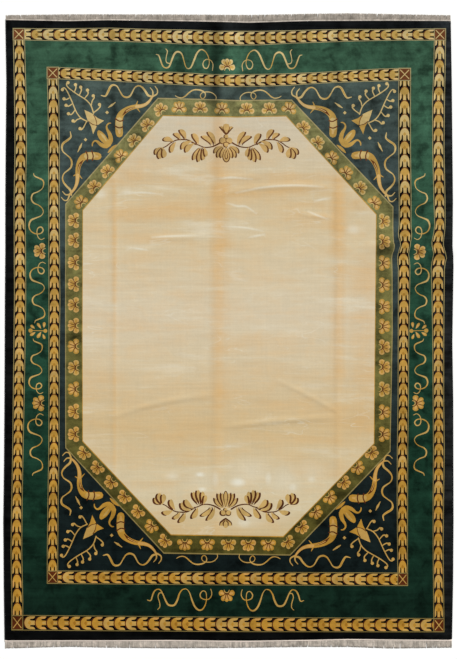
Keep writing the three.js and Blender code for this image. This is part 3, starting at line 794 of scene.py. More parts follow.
for spot in sprays:
    at, up, middle = np.array(spot["at"], float), spot["up"], sprayMiddles[spot["middle"]]

    def lay(yarn, outline, flip=1, shift=(0.0, 0.0)):
        points = (np.asarray(outline, float) * (flip, 1) + shift) * (1, up) * square
        paint(yarn, points + at)

    side = np.array(spot["shift"], float)
    lobeDark = np.array(spray["lobeShade"]) * (1, up)
    for flip in (1, -1):
        dark = np.array(spray["shadeOffset"]) * (flip, up) * spot["shade"]
        petalDark = np.array(spray["petalShade"]) * (flip * spot["shade"], 1)
        for line in spray["stems"]:
            lay("brown", band(line, spray["stemWidths"], 3), flip, side)
        for base, tip, width, bend in spray["leaves"]:
            lay("brown", petal(base, tip, width, bend), flip, side + dark)
            lay("honey", petal(base, tip, width, bend), flip, side)
        for base, tip, width, bend in middle["petals"]:
            lay("brown", petal(base, tip, width, bend), flip, petalDark)
            lay("honey", petal(base, tip, width, bend), flip)
    for yarn, base, tip, width in middle["centre"]:
        lay(yarn, petal(base, tip, width))
    for centre, radius in middle["lobes"]:
        lay("brown", disc(centre, radius + spray["lobeEdge"], 10), 1, lobeDark)
    for centre, radius in middle["lobes"]:
        lay("honey", disc(centre, radius, 10))
    lay("honey", middle["bloom"])
    for line, widths in middle["lines"]:
        lay("brown", band(line, widths, 3))
print("design laid out:", len(painted), "outlines")

# Marks in the cream field: warm and darker along old folds (rubbed wool and painted fold shade), pale spots
# and crinkles (wear and painted highlights)
rubAndShadeColumns = ("fromX", "fromY", "toX", "toY", "spread", "share")
rubAndShadeMarks = [dict(zip(rubAndShadeColumns, row)) for row in (
    (-66, 2060, -66, 1120, 52, 0.8),
    (-62, 1120, -62, 560, 84, 1.0),
    (-66, 560, -70, -500, 60, 0.7),
    (-70, -500, -80, -1400, 46, 0.3),
    (745, 1010, 745, 560, 66, 0.9),
    (750, 560, 748, -300, 58, 0.7),
    (748, -300, 745, -1050, 44, 0.3),
    (-778, 1010, -776, 200, 22, 0.7),
    (-776, 200, -775, -1000, 16, 0.45),
    (-800, 1020, -90, 1030, 48, 0.6),
    (-780, 800, -90, 806, 62, 0.65),
    (-740, 1100, -300, 1108, 34, 0.35),
    (-40, 916, 700, 968, 40, 0.6),
    (380, 782, 660, 780, 30, 0.5),
    (0, 1036, 700, 1040, 44, 0.3),
    (400, 856, 640, 862, 30, 0.35),
    (-700, 640, -250, 610, 50, 0.25),
    (820, 880, 860, 860, 34, 0.6),
    (870, 800, 900, 806, 34, 0.6),
    (930, 420, 920, -600, 130, 0.42),
)]
paleSpots = [    # middle, half sizes, how pale: worn pile and painted sheen highlights
    (-193, -979, 44, 19, 0.9), (-179, -1078, 38, 17, 0.7), (66, -1030, 68, 38, 0.85),
    (271, -1003, 34, 60, 0.5), (435, -1064, 42, 40, 0.52), (564, -1010, 40, 30, 0.46),
    (-383, -989, 62, 32, 0.36), (-90, -1010, 32, 70, 0.4), (107, -1303, 76, 48, 0.48),
    (2, -785, 38, 14, 0.45), (-870, 930, 50, 40, 0.5), (850, 690, 60, 40, 0.45),
    (-690, 946, 60, 16, 0.5), (150, -960, 190, 120, 0.26), (-170, -1010, 160, 90, 0.2),
    (380, -1010, 150, 120, 0.26), (560, -960, 120, 100, 0.18), (120, -1290, 190, 70, 0.24),
    (350, -1240, 110, 90, 0.18),
]
# thin pale lines painted along the small crinkles: painted highlights where they catch the light
crinkleHighlights = [
    [(-56, 1036), (20, 1044), (162, 1034)], [(53, 940), (230, 976), (421, 990), (560, 986), (640, 980)],
    [(-43, 711), (100, 704), (230, 681)], [(0, 868), (60, 850), (120, 846), (189, 800)],
    [(544, 812), (600, 788), (666, 764)], [(-751, 926), (-600, 942), (-465, 930)],
    [(-520, 636), (-400, 644), (-193, 650)], [(590, 884), (640, 896), (680, 900)],
    [(-660, 566), (-560, 552)], [(150, 640), (240, 655)],
]
wearAndLightShape = {
    "rubAndShadeSoftness": 1.3,       # how far past its own spread a mark fades out
    "spotSoftness": 1.25,
    "creaseSpread": 12,
    "creaseShare": 0.6,
    "creaseEnds": 0.35,       # what is left of a crease at its ends
}


def awayFrom(x, y, start, end):    # distance from a straight stretch
    run = np.array(end, float) - start
    share = ((x - start[0]) * run[0] + (y - start[1]) * run[1]) / (run @ run)
    held = np.clip(share, 0, 1)
    return np.hypot(x - start[0] - held * run[0], y - start[1] - held * run[1])


def rubAndFoldShadeAt(x, y):
    total = np.zeros(len(x))
    for mark in rubAndShadeMarks:
        away = awayFrom(x, y, (mark["fromX"], mark["fromY"]), (mark["toX"], mark["toY"]))
        total = np.maximum(total, mark["share"] * swell(away, mark["spread"] * wearAndLightShape["rubAndShadeSoftness"]))
    return total


def paleAndHighlightAt(x, y):
    total = np.zeros(len(x))
    for middleX, middleY, halfX, halfY, share in paleSpots:
        away = np.hypot((x - middleX) / halfX, (y - middleY) / halfY)
        total = np.maximum(total, share * swell(away, wearAndLightShape["spotSoftness"]))
    for line in crinkleHighlights:
        line = smoothLine(line, 4)
        for i, (start, end) in enumerate(zip(line, line[1:])):
            along = math.sin(math.pi * (i + 0.5) / (len(line) - 1))
            strength = wearAndLightShape["creaseEnds"] + (1 - wearAndLightShape["creaseEnds"]) * along
            near = swell(awayFrom(x, y, start, end), wearAndLightShape["creaseSpread"])
            total = np.maximum(total, wearAndLightShape["creaseShare"] * strength * near)
    return total


# The pile: one closed sheet whose faces follow the outlines of the design, a yarn to each colour
pileMesh = {
    "cornerRound": 10,
    "edgeStep": 16,          # from point to point along the outline
    "nearFold": 16,          # longest edge of a motif over a fold
    "farStep": 64,           # and elsewhere
    "foldLift": 0.02,        # what counts as a fold
    "gridStep": 46,          # loose points between the motifs
    "lengthFoldStep": (9, 30),     # and over a fold along the rug, across and along it
    "crossFoldStep": (20, 7.5),    # and over a fold across the rug
    "paleSpotStep": (15, 13),
    "edgeClear": 9,
    "crowded": 5.0,          # no loose point this close to another
    "backCoarse": 2.8,       # the back is coarser by this
    "rim": [(3.5, 0.0), (1.4, -0.7), (0.3, -2.6), (0.0, -6.8), (0.7, -10.2), (2.2, -11.2)],   # inset, drop
}
backDesign = {"wholeFrom": 900, "leastLength": 42, "leastWidth": 20, "manyPoints": 14, "keepEvery": 3}
yarns = ["black", "green", "navy", "olive", "cream", "gold", "deepGold", "straw", "peach", "honey",
         "rust", "brown", "khaki"]


def outlineRing(inset):
    r = pileMesh["cornerRound"]
    w, h = clothHalf - r, cloth["halfLength"] - r
    arcs = []
    for x, y, start in ((w, h, 0), (-w, h, 90), (-w, -h, 180), (w, -h, 270)):
        angles = [math.radians(start + turn) for turn in (0, 30, 60, 90)]
        arcs.append([(x + (r - inset) * math.cos(angle), y + (r - inset) * math.sin(angle))
                     for angle in angles])
    ring = []
    for i, arc in enumerate(arcs):
        begin, end = np.array(arc[-1]), np.array(arcs[(i + 1) % 4][0])
        count = int(2 * (w if i % 2 == 0 else h) // pileMesh["edgeStep"])
        ring += arc + [tuple(begin + (end - begin) * k / count) for k in range(1, count)]
    return np.array(ring)


def fineEdges(outline, nearStep, farStep):
    points = []
    for a, b in zip(outline, np.roll(outline, -1, axis=0)):
        points.append(a)
        count = int(np.hypot(*(b - a)) // nearStep)
        if count < 1:
            continue
        marks = a + np.outer(np.arange(1, count + 1) / (count + 1), b - a)
        folded = liftAt(*flatOf(marks[:, 0], marks[:, 1])) > pileMesh["foldLift"]
        every = max(int(farStep // nearStep), 1)
        keep = folded | (np.arange(1, count + 1) % every == 0)
        points += list(marks[keep])
    return np.array(points)


def gridOf(xs, ys):
    return np.stack(np.meshgrid(xs, ys), -1).reshape(-1, 2)


def foldPoints(coarse):    # loose points that let the sheet bend and the marks of wear, painted shade and highlights show
    spots = []
    stepX, stepY = pileMesh["lengthFoldStep"]
    for fold in lengthFolds:
        low, high = sorted((fold["from"], fold["to"]))
        rows = int(fold["spread"] // (stepX * coarse))
        xs = fold["across"] + np.linspace(-1, 1, 2 * rows + 1) * fold["spread"]
        spots.append(gridOf(xs, np.arange(low, high, stepY * coarse)))
    stepX, stepY = pileMesh["crossFoldStep"]
    for fold in crossFolds + [sideBuckle]:
        low, high = sorted((fold["across0"], fold["across1"]))
        xs = np.arange(low, high, stepX * coarse)
        line = crossLine(fold, xs)[1]
        rows = int(fold["spread"] // (stepY * coarse))
        for offset in np.linspace(-1, 1, 2 * rows + 1) * fold["spread"]:
            spots.append(np.stack([xs, line + offset], -1))
    if coarse == 1:
        stepX, stepY = pileMesh["paleSpotStep"]
        for middleX, middleY, halfX, halfY, _ in paleSpots:
            spots.append(gridOf(np.arange(-halfX, halfX, stepX) + middleX,
                                np.arange(-halfY, halfY, stepY) + middleY))
        for line in crinkleHighlights:
            line = smoothLine(line, 10)
            across = np.array([0, wearAndLightShape["creaseSpread"]])
            spots += [line, line + across, line - across]
    step = pileMesh["gridStep"] * coarse
    spots.append(gridOf(np.arange(-clothHalf + step / 2, clothHalf, step),
                        np.arange(-cloth["halfLength"] + step / 2, cloth["halfLength"], step)))
    x, y = np.vstack(spots).T
    inside = ((np.abs(x) < clothHalf - pileMesh["edgeClear"])
              & (np.abs(y) < cloth["halfLength"] - pileMesh["edgeClear"]))
    return np.stack(placeOf(x[inside], y[inside]), -1)


def windings(points, outline):
    a, b = outline, np.roll(outline, -1, axis=0)
    px, py = points[:, 0][:, None], points[:, 1][:, None]
    side = (b[:, 0] - a[:, 0]) * (py - a[:, 1]) - (px - a[:, 0]) * (b[:, 1] - a[:, 1])
    up = (a[:, 1] <= py) & (b[:, 1] > py) & (side > 0)
    down = (a[:, 1] > py) & (b[:, 1] <= py) & (side < 0)
    return up.sum(axis=1) - down.sum(axis=1)


def uncrowded(spots, taken):
    crowded, cell = set(), pileMesh["crowded"]
    for shiftX in (-1, 0, 1):
        for shiftY in (-1, 0, 1):
            crowded.update(map(tuple, np.floor(taken / cell).astype(int) + (shiftX, shiftY)))
    kept = []
    for key, spot in zip(map(tuple, np.floor(spots / cell).astype(int)), spots):
        if key not in crowded:
            crowded.add(key)
            kept.append(spot)
    return np.array(kept)


# Gives the points, the triangles, which points are the ring's, and a yarn to each triangle
def layFaces(ring, outlines, coarse):
    inputs, edges, count = [ring], [(i, (i + 1) % len(ring)) for i in range(len(ring))], len(ring)
    for _, outline in outlines:
        fine = fineEdges(outline, pileMesh["nearFold"] * coarse, pileMesh["farStep"] * coarse)
        edges += [(count + i, count + (i + 1) % len(fine)) for i in range(len(fine))]
        inputs.append(fine)
        count += len(fine)
    inputs.append(uncrowded(foldPoints(coarse), np.vstack(inputs)))
    result = delaunay_2d_cdt([Vector(p) for p in np.vstack(inputs).tolist()], edges, [], 0, 1e-3, True)
    places, triangles = np.array([tuple(v) for v in result[0]]), np.array(result[2])
    ringIndex = np.zeros(len(ring), int)
    for new, sources in enumerate(result[3]):
        for source in sources:
            if source < len(ring):
                ringIndex[source] = new
    middles = places[triangles].mean(axis=1)
    inside = windings(middles, ring) != 0
    triangles, middles = triangles[inside], middles[inside]
    yarnOf = np.zeros(len(triangles), int)
    for yarn, outline in outlines:
        low, high = outline.min(axis=0), outline.max(axis=0)
        near = np.flatnonzero((middles[:, 0] >= low[0]) & (middles[:, 0] <= high[0])
                              & (middles[:, 1] >= low[1]) & (middles[:, 1] <= high[1]))
        if len(near):
            yarnOf[near[windings(middles[near], outline) != 0]] = yarns.index(yarn)
    return places, triangles, ringIndex, yarnOf


def plainer(outlines):    # the back shows the same design more coarsely
    kept = []
    for yarn, outline in outlines:
        length, width = np.ptp(outline, axis=0).max(), np.ptp(outline, axis=0).min()
        if width > backDesign["wholeFrom"]:
            kept.append((yarn, outline))
        elif length > backDesign["leastLength"] and width > backDesign["leastWidth"]:
            every = backDesign["keepEvery"] if len(outline) > backDesign["manyPoints"] else 1
            kept.append((yarn, outline[::every]))
    return kept


rimFlat = [outlineRing(inset) for inset, _ in pileMesh["rim"]]
topRing, backRing = (np.stack(placeOf(ring[:, 0], ring[:, 1]), -1) for ring in (rimFlat[0], rimFlat[-1]))
topPlaces, topFaces, topRim, topYarns = layFaces(topRing, painted, 1)
backPlaces, backFaces, backRim, backYarns = layFaces(backRing, plainer(painted), pileMesh["backCoarse"])
print("pile faces:", len(topFaces), "above,", len(backFaces), "below")
print("yarns:", ", ".join(f"{name} {int((topYarns == i).sum())}" for i, name in enumerate(yarns)))


def hexLinear(code):
    channels = [int(code[i:i + 2], 16) / 255 for i in (0, 2, 4)]
    return tuple(c / 12.92 if c <= 0.04045 else ((c + 0.055) / 1.055) ** 2.4 for c in channels) + (1.0,)


def addNode(tree, kind, inputs=(), **settings):
    node = tree.nodes.new(kind)
    for name, value in settings.items():
        setattr(node, name, value)
    for key, value in dict(inputs).items():
        socket = node.inputs[key]
        if isinstance(key, str):    # a mix node repeats its names for every kind of data
            socket = [one for one in node.inputs if one.name == key and one.enabled][0]
        if isinstance(value, bpy.types.NodeSocket):
            tree.links.new(value, socket)
        else:
            socket.default_value = value
    return node


def newMaterial(name):
    material = bpy.data.materials.new(name)
    material.use_nodes = True
    material.node_tree.nodes.clear()
    return material, material.node_tree


def finished(material, inputs):    # the shader that ends a material
    shader = addNode(material.node_tree, "ShaderNodeBsdfPrincipled", inputs)
    addNode(material.node_tree, "ShaderNodeOutputMaterial", {"Surface": shader.outputs[0]})
    return material


def objectPlace(tree):
    return addNode(tree, "ShaderNodeTexCoord").outputs["Object"]


def attributeOf(tree, name):
    return addNode(tree, "ShaderNodeAttribute", attribute_name=name).outputs["Fac"]


def noiseOf(tree, place, size, detail=2.0, roughness=0.5, distortion=0.0):
    return addNode(tree, "ShaderNodeTexNoise", {
        "Vector": place, "Scale": size, "Detail": detail, "Roughness": roughness,
        "Distortion": distortion}).outputs["Fac"]


def stretchedNoise(tree, place, stretch, detail, roughness, distortion=0.0):
    stretched = addNode(tree, "ShaderNodeMapping", {"Vector": place, "Scale": (*stretch, 1.0)})
    return noiseOf(tree, stretched.outputs[0], 1.0, detail, roughness, distortion)


def maths(tree, operation, first, second=0.0, third=0.0):
    return addNode(tree, "ShaderNodeMath", {0: first, 1: second, 2: third},
                   operation=operation).outputs[0]


def swing(tree, noise, share, level=0.0):    # a noise swings round one half
    return maths(tree, "MULTIPLY_ADD", maths(tree, "SUBTRACT", noise, 0.5), share, level)


def heldIn(tree, value, low, high):
    return maths(tree, "MINIMUM", maths(tree, "MAXIMUM", value, low), high)


def mapped(tree, value, fromLow, fromHigh, toLow=0.0, toHigh=1.0):
    return addNode(tree, "ShaderNodeMapRange", {
        "Value": value, "From Min": fromLow, "From Max": fromHigh,
        "To Min": toLow, "To Max": toHigh}).outputs[0]


def blend(tree, factor, first, second):
    mix = addNode(tree, "ShaderNodeMix", {"Factor": factor, "A": first, "B": second}, data_type="RGBA")
    return [one for one in mix.outputs if one.enabled][0]


def rampOf(tree, factor, stops):
    ramp = addNode(tree, "ShaderNodeValToRGB", {"Fac": factor})
    elements = ramp.color_ramp.elements
    while len(elements) < len(stops):
        elements.new(0.5)
    for element, (position, colour) in zip(elements, stops):
        element.position = position
        element.color = colour
    return ramp.outputs[0]


def toned(tree, colour, value):
    return addNode(tree, "ShaderNodeHueSaturation", {"Value": value, "Color": colour}).outputs[0]


def bumpOf(tree, height, strength, distance, more=(), **settings):
    inputs = {"Height": height, "Strength": strength, "Distance": distance}
    inputs.update(more)
    return addNode(tree, "ShaderNodeBump", inputs, **settings).outputs[0]


# Hand-knotted wool pile: matt and soft. Each yarn is written at heights along the rug, in metres
# from the middle, mostly lighter towards the head: painted sheen of the nap, which leans towards
# the foot. Rows of knots differ a little, as dye lots do; along old folds the cream shows rub and painted
# shade.
evenly = (-2.05, -1.2, 0.0, 1.2, 2.0)
pileYarns = {
    "black": {"along": dict(zip(evenly, ("080909", "0a0b0b", "0c0d0d", "0d0f0f", "101213"))),
              "streak": 0.6, "blotch": 0.8, "crush": 0.3, "fold": 0.6, "rightSideSheen": 3.2},
    "green": {"along": dict(zip(evenly, ("0d1e16", "153023", "204030", "345542", "34523f"))),
              "streak": 0.22, "blotch": 0.62, "crush": 0.5, "fold": 0.62},
    "navy": {"along": dict(zip(evenly, ("0d1615", "131c1c", "2b3534", "3c4846", "435049"))),
             "streak": 0.22, "blotch": 0.6, "crush": 0.5, "fold": 0.62},
    "olive": {"along": dict(zip(evenly, ("433d17", "4f4920", "696436", "777449", "7c7b50"))),
              "streak": 0.2, "blotch": 0.75, "crush": 0.4, "fold": 0.55},
    "cream": {"along": {-1.4: "cab58b", -1.1: "d3c4a2", -0.65: "cfb78c", -0.2: "d4c2a0", 0.1: "d6c7aa",
                        0.6: "d4c29f", 0.95: "d2bf9a", 1.4: "cec1a7"},
              "streak": 0.02, "blotch": 0.035, "crush": 0.0, "fold": 0.0},
    "gold": {"along": dict(zip(evenly, ("ae802f", "af8333", "b38b41", "b59049", "b59550"))),
             "streak": 0.12, "blotch": 0.28, "crush": 0.1, "fold": 0.3},
    "deepGold": {"along": dict(zip(evenly, ("996a20", "9a6d24", "9e742e", "a07a35", "9e7b3b"))),
                 "streak": 0.12, "blotch": 0.28, "crush": 0.1, "fold": 0.3},
    "straw": {"along": dict(zip(evenly, ("b58f4a", "b7924e", "bb9a5a", "c3a96e", "c6b07a"))),
              "streak": 0.1, "blotch": 0.26, "crush": 0.1, "fold": 0.3},
    "peach": {"along": dict(zip(evenly, ("be8e4c", "c19450", "c49b5a", "caa66a", "ceb27c"))),
              "streak": 0.1, "blotch": 0.26, "crush": 0.1, "fold": 0.3},
    "honey": {"along": {-1.4: "bf9e60", 1.4: "c29f64"},
              "streak": 0.1, "blotch": 0.26, "crush": 0.1, "fold": 0.3},
    "rust": {"along": dict(zip(evenly, ("522610", "572b14", "5d311a", "643820", "6b4026"))),
             "streak": 0.15, "blotch": 0.3, "crush": 0.2, "fold": 0.3},
    "brown": {"along": dict(zip(evenly, ("502a14", "532c16", "5a351d", "633c22", "684226"))),
              "streak": 0.15, "blotch": 0.3, "crush": 0.2, "fold": 0.3},
    "khaki": {"along": dict(zip(evenly, ("7d6c3c", "877747", "948657", "9b8f62", "9c9168"))),
              "streak": 0.14, "blotch": 0.25, "crush": 0.1, "fold": 0.3},
}
pileFinish = {
    "strength": 0.93,        # how much of the written colour is kept under the studio light
    "darkest": 0.35,         # no streak or blotch takes more away
    "roughness": 0.9,
    "specular": 0.03,
    "sheen": 0.01,
    "knotPitch": 2.6,        # millimetres from knot to knot
    "knotHeight": 0.5,
    "streaks": ((1.1, 26.0), 5.0, 0.6),      # repeats in a metre across and along, detail, roughness
    "blotches": (7.5, 7.0, 0.62, 0.5),       # trodden patches: repeats, detail, roughness, distortion
    "crushed": (11.0, 3.0, 0.55, 0.3),       # small places where the nap lies flat and looks dark
    "crushedFrom": 0.52,
    "crushedTo": 0.68,
    "tufts": (120.0, 2.0, 0.7),
    "trodDepth": 6.0,        # millimetres that the trodden patches seem to sink
    "rightFrom": 1.3,        # where the painted sheen on the black wool at the right begins
    "rightTo": 1.47,
}
creamFinish = {
    "rubAndFoldShade": "d3a057",      # warmer, darker cream along old folds: rubbed wool with painted fold shade
    "rubAndFoldShadeShare": 0.5,
    "paleAndHighlight": "e6e3d2",    # pale cream of the painted highlights and worn places
    "clouds": ((1.3, 8.0), 8.0, 0.66, 0.4),
    "threads": ((5.0, 30.0), 5.0, 0.7),
    "creaseRuns": ((2.2, 9.0), 2.0, 0.5, 0.8),
    "creasePlaces": ((2.6, 4.0), 2.0, 0.5),
    "creaseWidth": 0.014,
    "creaseShare": 0.4,
    "paleUnder": 0.44,       # the thin parts of the clouds are painted pale too
    "knotRows": ((3.0, 75.0), 2.0, 0.5),
    "warpLines": ((75.0, 3.0), 2.0, 0.5),
}


def creamWearAndLight(tree, place, base, value, blotches):    # warm bands of rub and painted fold shade; pale spots and crinkle lines, wear and painted highlights
    clouds = stretchedNoise(tree, place, *creamFinish["clouds"])
    threads = stretchedNoise(tree, place, *creamFinish["threads"])
    rubAndFoldShade = maths(tree, "MULTIPLY", attributeOf(tree, "rubAndFoldShade"),
                   maths(tree, "MULTIPLY_ADD", threads, 1.2, 0.3))
    tint = swing(tree, blotches, 1.0, swing(tree, clouds, 2.2, 0.12))
    tint = heldIn(tree, maths(tree, "ADD", tint, rubAndFoldShade), 0.0, 1.1)
    share = maths(tree, "MULTIPLY", tint, creamFinish["rubAndFoldShadeShare"])
    base = blend(tree, share, base, hexLinear(creamFinish["rubAndFoldShade"]))

    # thin pale crinkle lines: painted highlights where the pile crinkles
    runs = stretchedNoise(tree, place, *creamFinish["creaseRuns"])
    offLine = maths(tree, "ABSOLUTE", maths(tree, "SUBTRACT", runs, 0.5))
    thin = maths(tree, "SUBTRACT", 1.0, maths(tree, "DIVIDE", offLine, creamFinish["creaseWidth"]))
    places = swing(tree, stretchedNoise(tree, place, *creamFinish["creasePlaces"]), 5.0)
    crease = maths(tree, "MULTIPLY", maths(tree, "MAXIMUM", thin, 0.0), heldIn(tree, places, 0.0, 1.0))
    pale = maths(tree, "MULTIPLY", maths(tree, "SUBTRACT", creamFinish["paleUnder"], clouds), 2.2)
    pale = maths(tree, "MAXIMUM", pale, maths(tree, "MULTIPLY", crease, creamFinish["creaseShare"]))
    pale = maths(tree, "MAXIMUM", pale, attributeOf(tree, "paleAndHighlight"))
    base = blend(tree, heldIn(tree, pale, 0.0, 1.0), base, hexLinear(creamFinish["paleAndHighlight"]))

    weave = maths(tree, "MULTIPLY_ADD", stretchedNoise(tree, place, *creamFinish["knotRows"]), 0.15, 0.885)
    weave = maths(tree, "MULTIPLY_ADD", stretchedNoise(tree, place, *creamFinish["warpLines"]), 0.08, weave)
    return base, maths(tree, "MULTIPLY", value, weave)


def pileWool(name, yarn):
    material, tree = newMaterial("wool_pile_" + name)
    place = objectPlace(tree)
    across, along, _ = addNode(tree, "ShaderNodeSeparateXYZ", {0: place}).outputs
    foot, head = min(yarn["along"]), max(yarn["along"])
    # the ramp along the rug holds the painted nap sheen, lighter towards the head
    base = rampOf(tree, mapped(tree, along, foot, head), [
        ((y - foot) / (head - foot), hexLinear(code)) for y, code in sorted(yarn["along"].items())])
    blotches = noiseOf(tree, place, *pileFinish["blotches"])
    value = swing(tree, stretchedNoise(tree, place, *pileFinish["streaks"]), 5 * yarn["streak"], 1.0)
    value = swing(tree, blotches, 4 * yarn["blotch"], value)
    value = swing(tree, noiseOf(tree, place, *pileFinish["tufts"]), 0.1 + 0.9 * yarn["blotch"], value)
    # painted fold shade and light: each yarn is darkened or lightened by its share of it
    folded = maths(tree, "MULTIPLY_ADD", attributeOf(tree, "paintedFoldShadeAndLight"), -yarn["fold"], 1.0)
    value = maths(tree, "MULTIPLY", maths(tree, "MAXIMUM", value, pileFinish["darkest"]), folded)
    if "rightSideSheen" in yarn:    # painted sheen: the black wool is painted lighter at the right, where the nap lies the other way
        lit = mapped(tree, across, pileFinish["rightFrom"], pileFinish["rightTo"], 1.0, yarn["rightSideSheen"])
        value = maths(tree, "MULTIPLY", value, lit)
    if yarn["crush"]:
        flattened = noiseOf(tree, place, *pileFinish["crushed"])
        dimmed = mapped(tree, flattened, pileFinish["crushedFrom"], pileFinish["crushedTo"],
                        1.0, 1 - yarn["crush"])
        value = maths(tree, "MULTIPLY", value, dimmed)
    value = maths(tree, "MULTIPLY", value, pileFinish["strength"])
    if name == "cream":
        base, value = creamWearAndLight(tree, place, base, value, blotches)
    knots = addNode(tree, "ShaderNodeTexVoronoi", {
        "Vector": place, "Scale": 1000 / pileFinish["knotPitch"]})
    nap = bumpOf(tree, knots.outputs["Distance"], 0.35, pileFinish["knotHeight"] * mm, invert=True)
    trodden = bumpOf(tree, blotches, 0.4, pileFinish["trodDepth"] * mm, {"Normal": nap})
    return finished(material, {
        "Base Color": toned(tree, base, value), "Roughness": pileFinish["roughness"], "IOR": 1.45,
        "Specular IOR Level": pileFinish["specular"], "Sheen Weight": pileFinish["sheen"],
        "Sheen Roughness": 0.5, "Normal": trodden})


# Slow waves in the clipped pile: repeats across and along in radians a millimetre, and their start
clippedWaves = [(0.0061, 0.0027, 0.4), (-0.0034, 0.0083, 1.9),
                (0.0118, -0.0066, 4.1), (0.0049, 0.0147, 2.6)]


def undulation(x, y):
    return cloth["napUnevenness"] * sum(np.sin(a * x + b * y + c) for a, b, c in clippedWaves) / 2


def newPiece(name, points, faces, materials, faceMaterials=None):
    mesh = bpy.data.meshes.new(name)
    mesh.from_pydata(points, [], faces)
    for material in materials:
        mesh.materials.append(material)
    if faceMaterials is not None:
        mesh.polygons.foreach_set("material_index", faceMaterials)
    mesh.polygons.foreach_set("use_smooth", np.ones(len(mesh.polygons), bool))
    mesh.update()
    piece = bpy.data.objects.new(name, mesh)
    bpy.context.scene.collection.objects.link(piece)
    return piece


def addAttribute(piece, name, values):
    attribute = piece.data.attributes.new(name, "FLOAT", "POINT")
    attribute.data.foreach_set("value", np.asarray(values, np.float32))


flatX, flatY = flatOf(topPlaces[:, 0], topPlaces[:, 1])
topZ = liftAt(flatX, flatY) + cloth["thickness"] + undulation(flatX, flatY)
backZ = liftAt(*flatOf(backPlaces[:, 0], backPlaces[:, 1])) + cloth["backHeight"]
points = [np.column_stack([topPlaces, topZ]), np.column_stack([backPlaces, backZ])]
above, below, around = len(topPlaces), len(backPlaces), len(topRing)
for (inset, drop), ring in list(zip(pileMesh["rim"], rimFlat))[1:-1]:
    x, y = placeOf(ring[:, 0], ring[:, 1])
    points.append(np.column_stack([x, y, liftAt(ring[:, 0], ring[:, 1]) + cloth["thickness"] + drop]))
levels = [topRim] + [above + below + k * around + np.arange(around) for k in range(len(rimFlat) - 2)]
levels.append(backRim + above)
faces = topFaces.tolist() + (backFaces[:, ::-1] + above).tolist()
faceYarns = list(topYarns) + list(backYarns)
after = np.roll(np.arange(around), -1)
for upper, lower in zip(levels, levels[1:]):
    faces += np.stack([upper, lower, lower[after], upper[after]], -1).tolist()
    faceYarns += [yarns.index("black")] * around
allPoints = np.vstack(points)
pileMaterials = [pileWool(name, pileYarns[name]) for name in yarns]
pile = newPiece("pile", (allPoints * mm).tolist(), faces, pileMaterials, faceYarns)

# Painted shade and light where the rug lay folded and buckled: a share above nought paints shade, below
# nought paints light.
paintedShadeAndLightMarks = [
    {"line": [(-88, 2107), (-92, 1650), (-70, 1450), (-84, 900), (-90, 0), (-84, -900), (-80, -2107)],
     "width": 62, "share": [1.0, 1.0, 0.8, 0.9, 0.8, 0.5, 0.2]},
    {"line": [(-790, 2107), (-779, 1500), (-779, -1500), (-775, -2107)],
     "width": 26, "share": [0.6, 0.5, 0.4, 0.15]},
    {"line": [(741, 2107), (735, 1500), (728, 600), (730, -600), (745, -2107)],
     "width": 40, "share": [0.35, 0.45, 0.75, 0.6, 0.1]},
    {"line": [(790, 1500), (800, 600), (790, -400)], "width": 46, "share": [0.2, 0.5, 0.3]},
    {"line": [(22, 2107), (26, 1780), (26, 1660)], "width": 66, "share": [-1.0, -1.0, 0]},
    {"line": [(-990, 1720), (-990, 1400), (-990, 1000)], "width": 200, "share": [-0.22, -0.22, 0]},
    {"line": [(980, 1720), (980, 1400), (980, 1000)], "width": 200, "share": [0.14, 0.14, 0]},
    {"line": [(1350, 1900), (1360, 1300), (1340, 700)], "width": 90, "share": [-0.35, -0.35, 0]},
    {"line": [(1052, 604), (1052, 574), (1052, 520), (1052, 484)],
     "width": 104, "share": [0, 1.25, 1.15, 0]},
    {"line": [(1075, 730), (1075, 655), (1075, 600)], "width": 60, "share": [0, -0.5, 0]},
    {"line": [(1146, 780), (1144, 690), (1142, 600)], "width": 36, "share": [0, -1.2, 0]},
    {"line": [(1362, 600), (1368, 548), (1370, 510)], "width": 44, "share": [0, -1.5, 0]},
    {"line": [(1360, 520), (1364, 470), (1364, 410)], "width": 50, "share": [0, 0.9, 0]},
]
paintedShadeTone = {
    "softness": 1.25,        # how far past its own width a mark fades out
    "crossLight": 0.25,      # painted highlight along the folds across the rug
    "buckle": ((30, 0.4), (-30, -0.3)),    # the buckle's painted shade and painted highlight: moved up and down, and how dark
}
fx, fy = flatOf(allPoints[:, 0], allPoints[:, 1])
paintedFoldShadeAndLight = np.zeros(len(allPoints))
for mark in paintedShadeAndLightMarks:
    line = np.array(sorted(mark["line"], key=lambda spot: spot[1]), float)
    share = np.interp(fy, line[:, 1], mark["share"][::-1], left=0, right=0)
    away = fx - np.interp(fy, line[:, 1], line[:, 0])
    paintedFoldShadeAndLight += share * swell(away, mark["width"] * paintedShadeTone["softness"])
for fold in crossFolds:
    paintedFoldShadeAndLight -= paintedShadeTone["crossLight"] * crossHeight(fold, fx, fy) / fold["rise"]
for shift, share in paintedShadeTone["buckle"]:
    paintedFoldShadeAndLight += share * crossHeight(sideBuckle, fx, fy - shift, openEnd=True) / sideBuckle["rise"]
addAttribute(pile, "paintedFoldShadeAndLight", paintedFoldShadeAndLight)
addAttribute(pile, "rubAndFoldShade", rubAndFoldShadeAt(fx, fy))
addAttribute(pile, "paleAndHighlight", paleAndHighlightAt(fx, fy))
print("pile built:", len(pile.data.polygons), "faces")

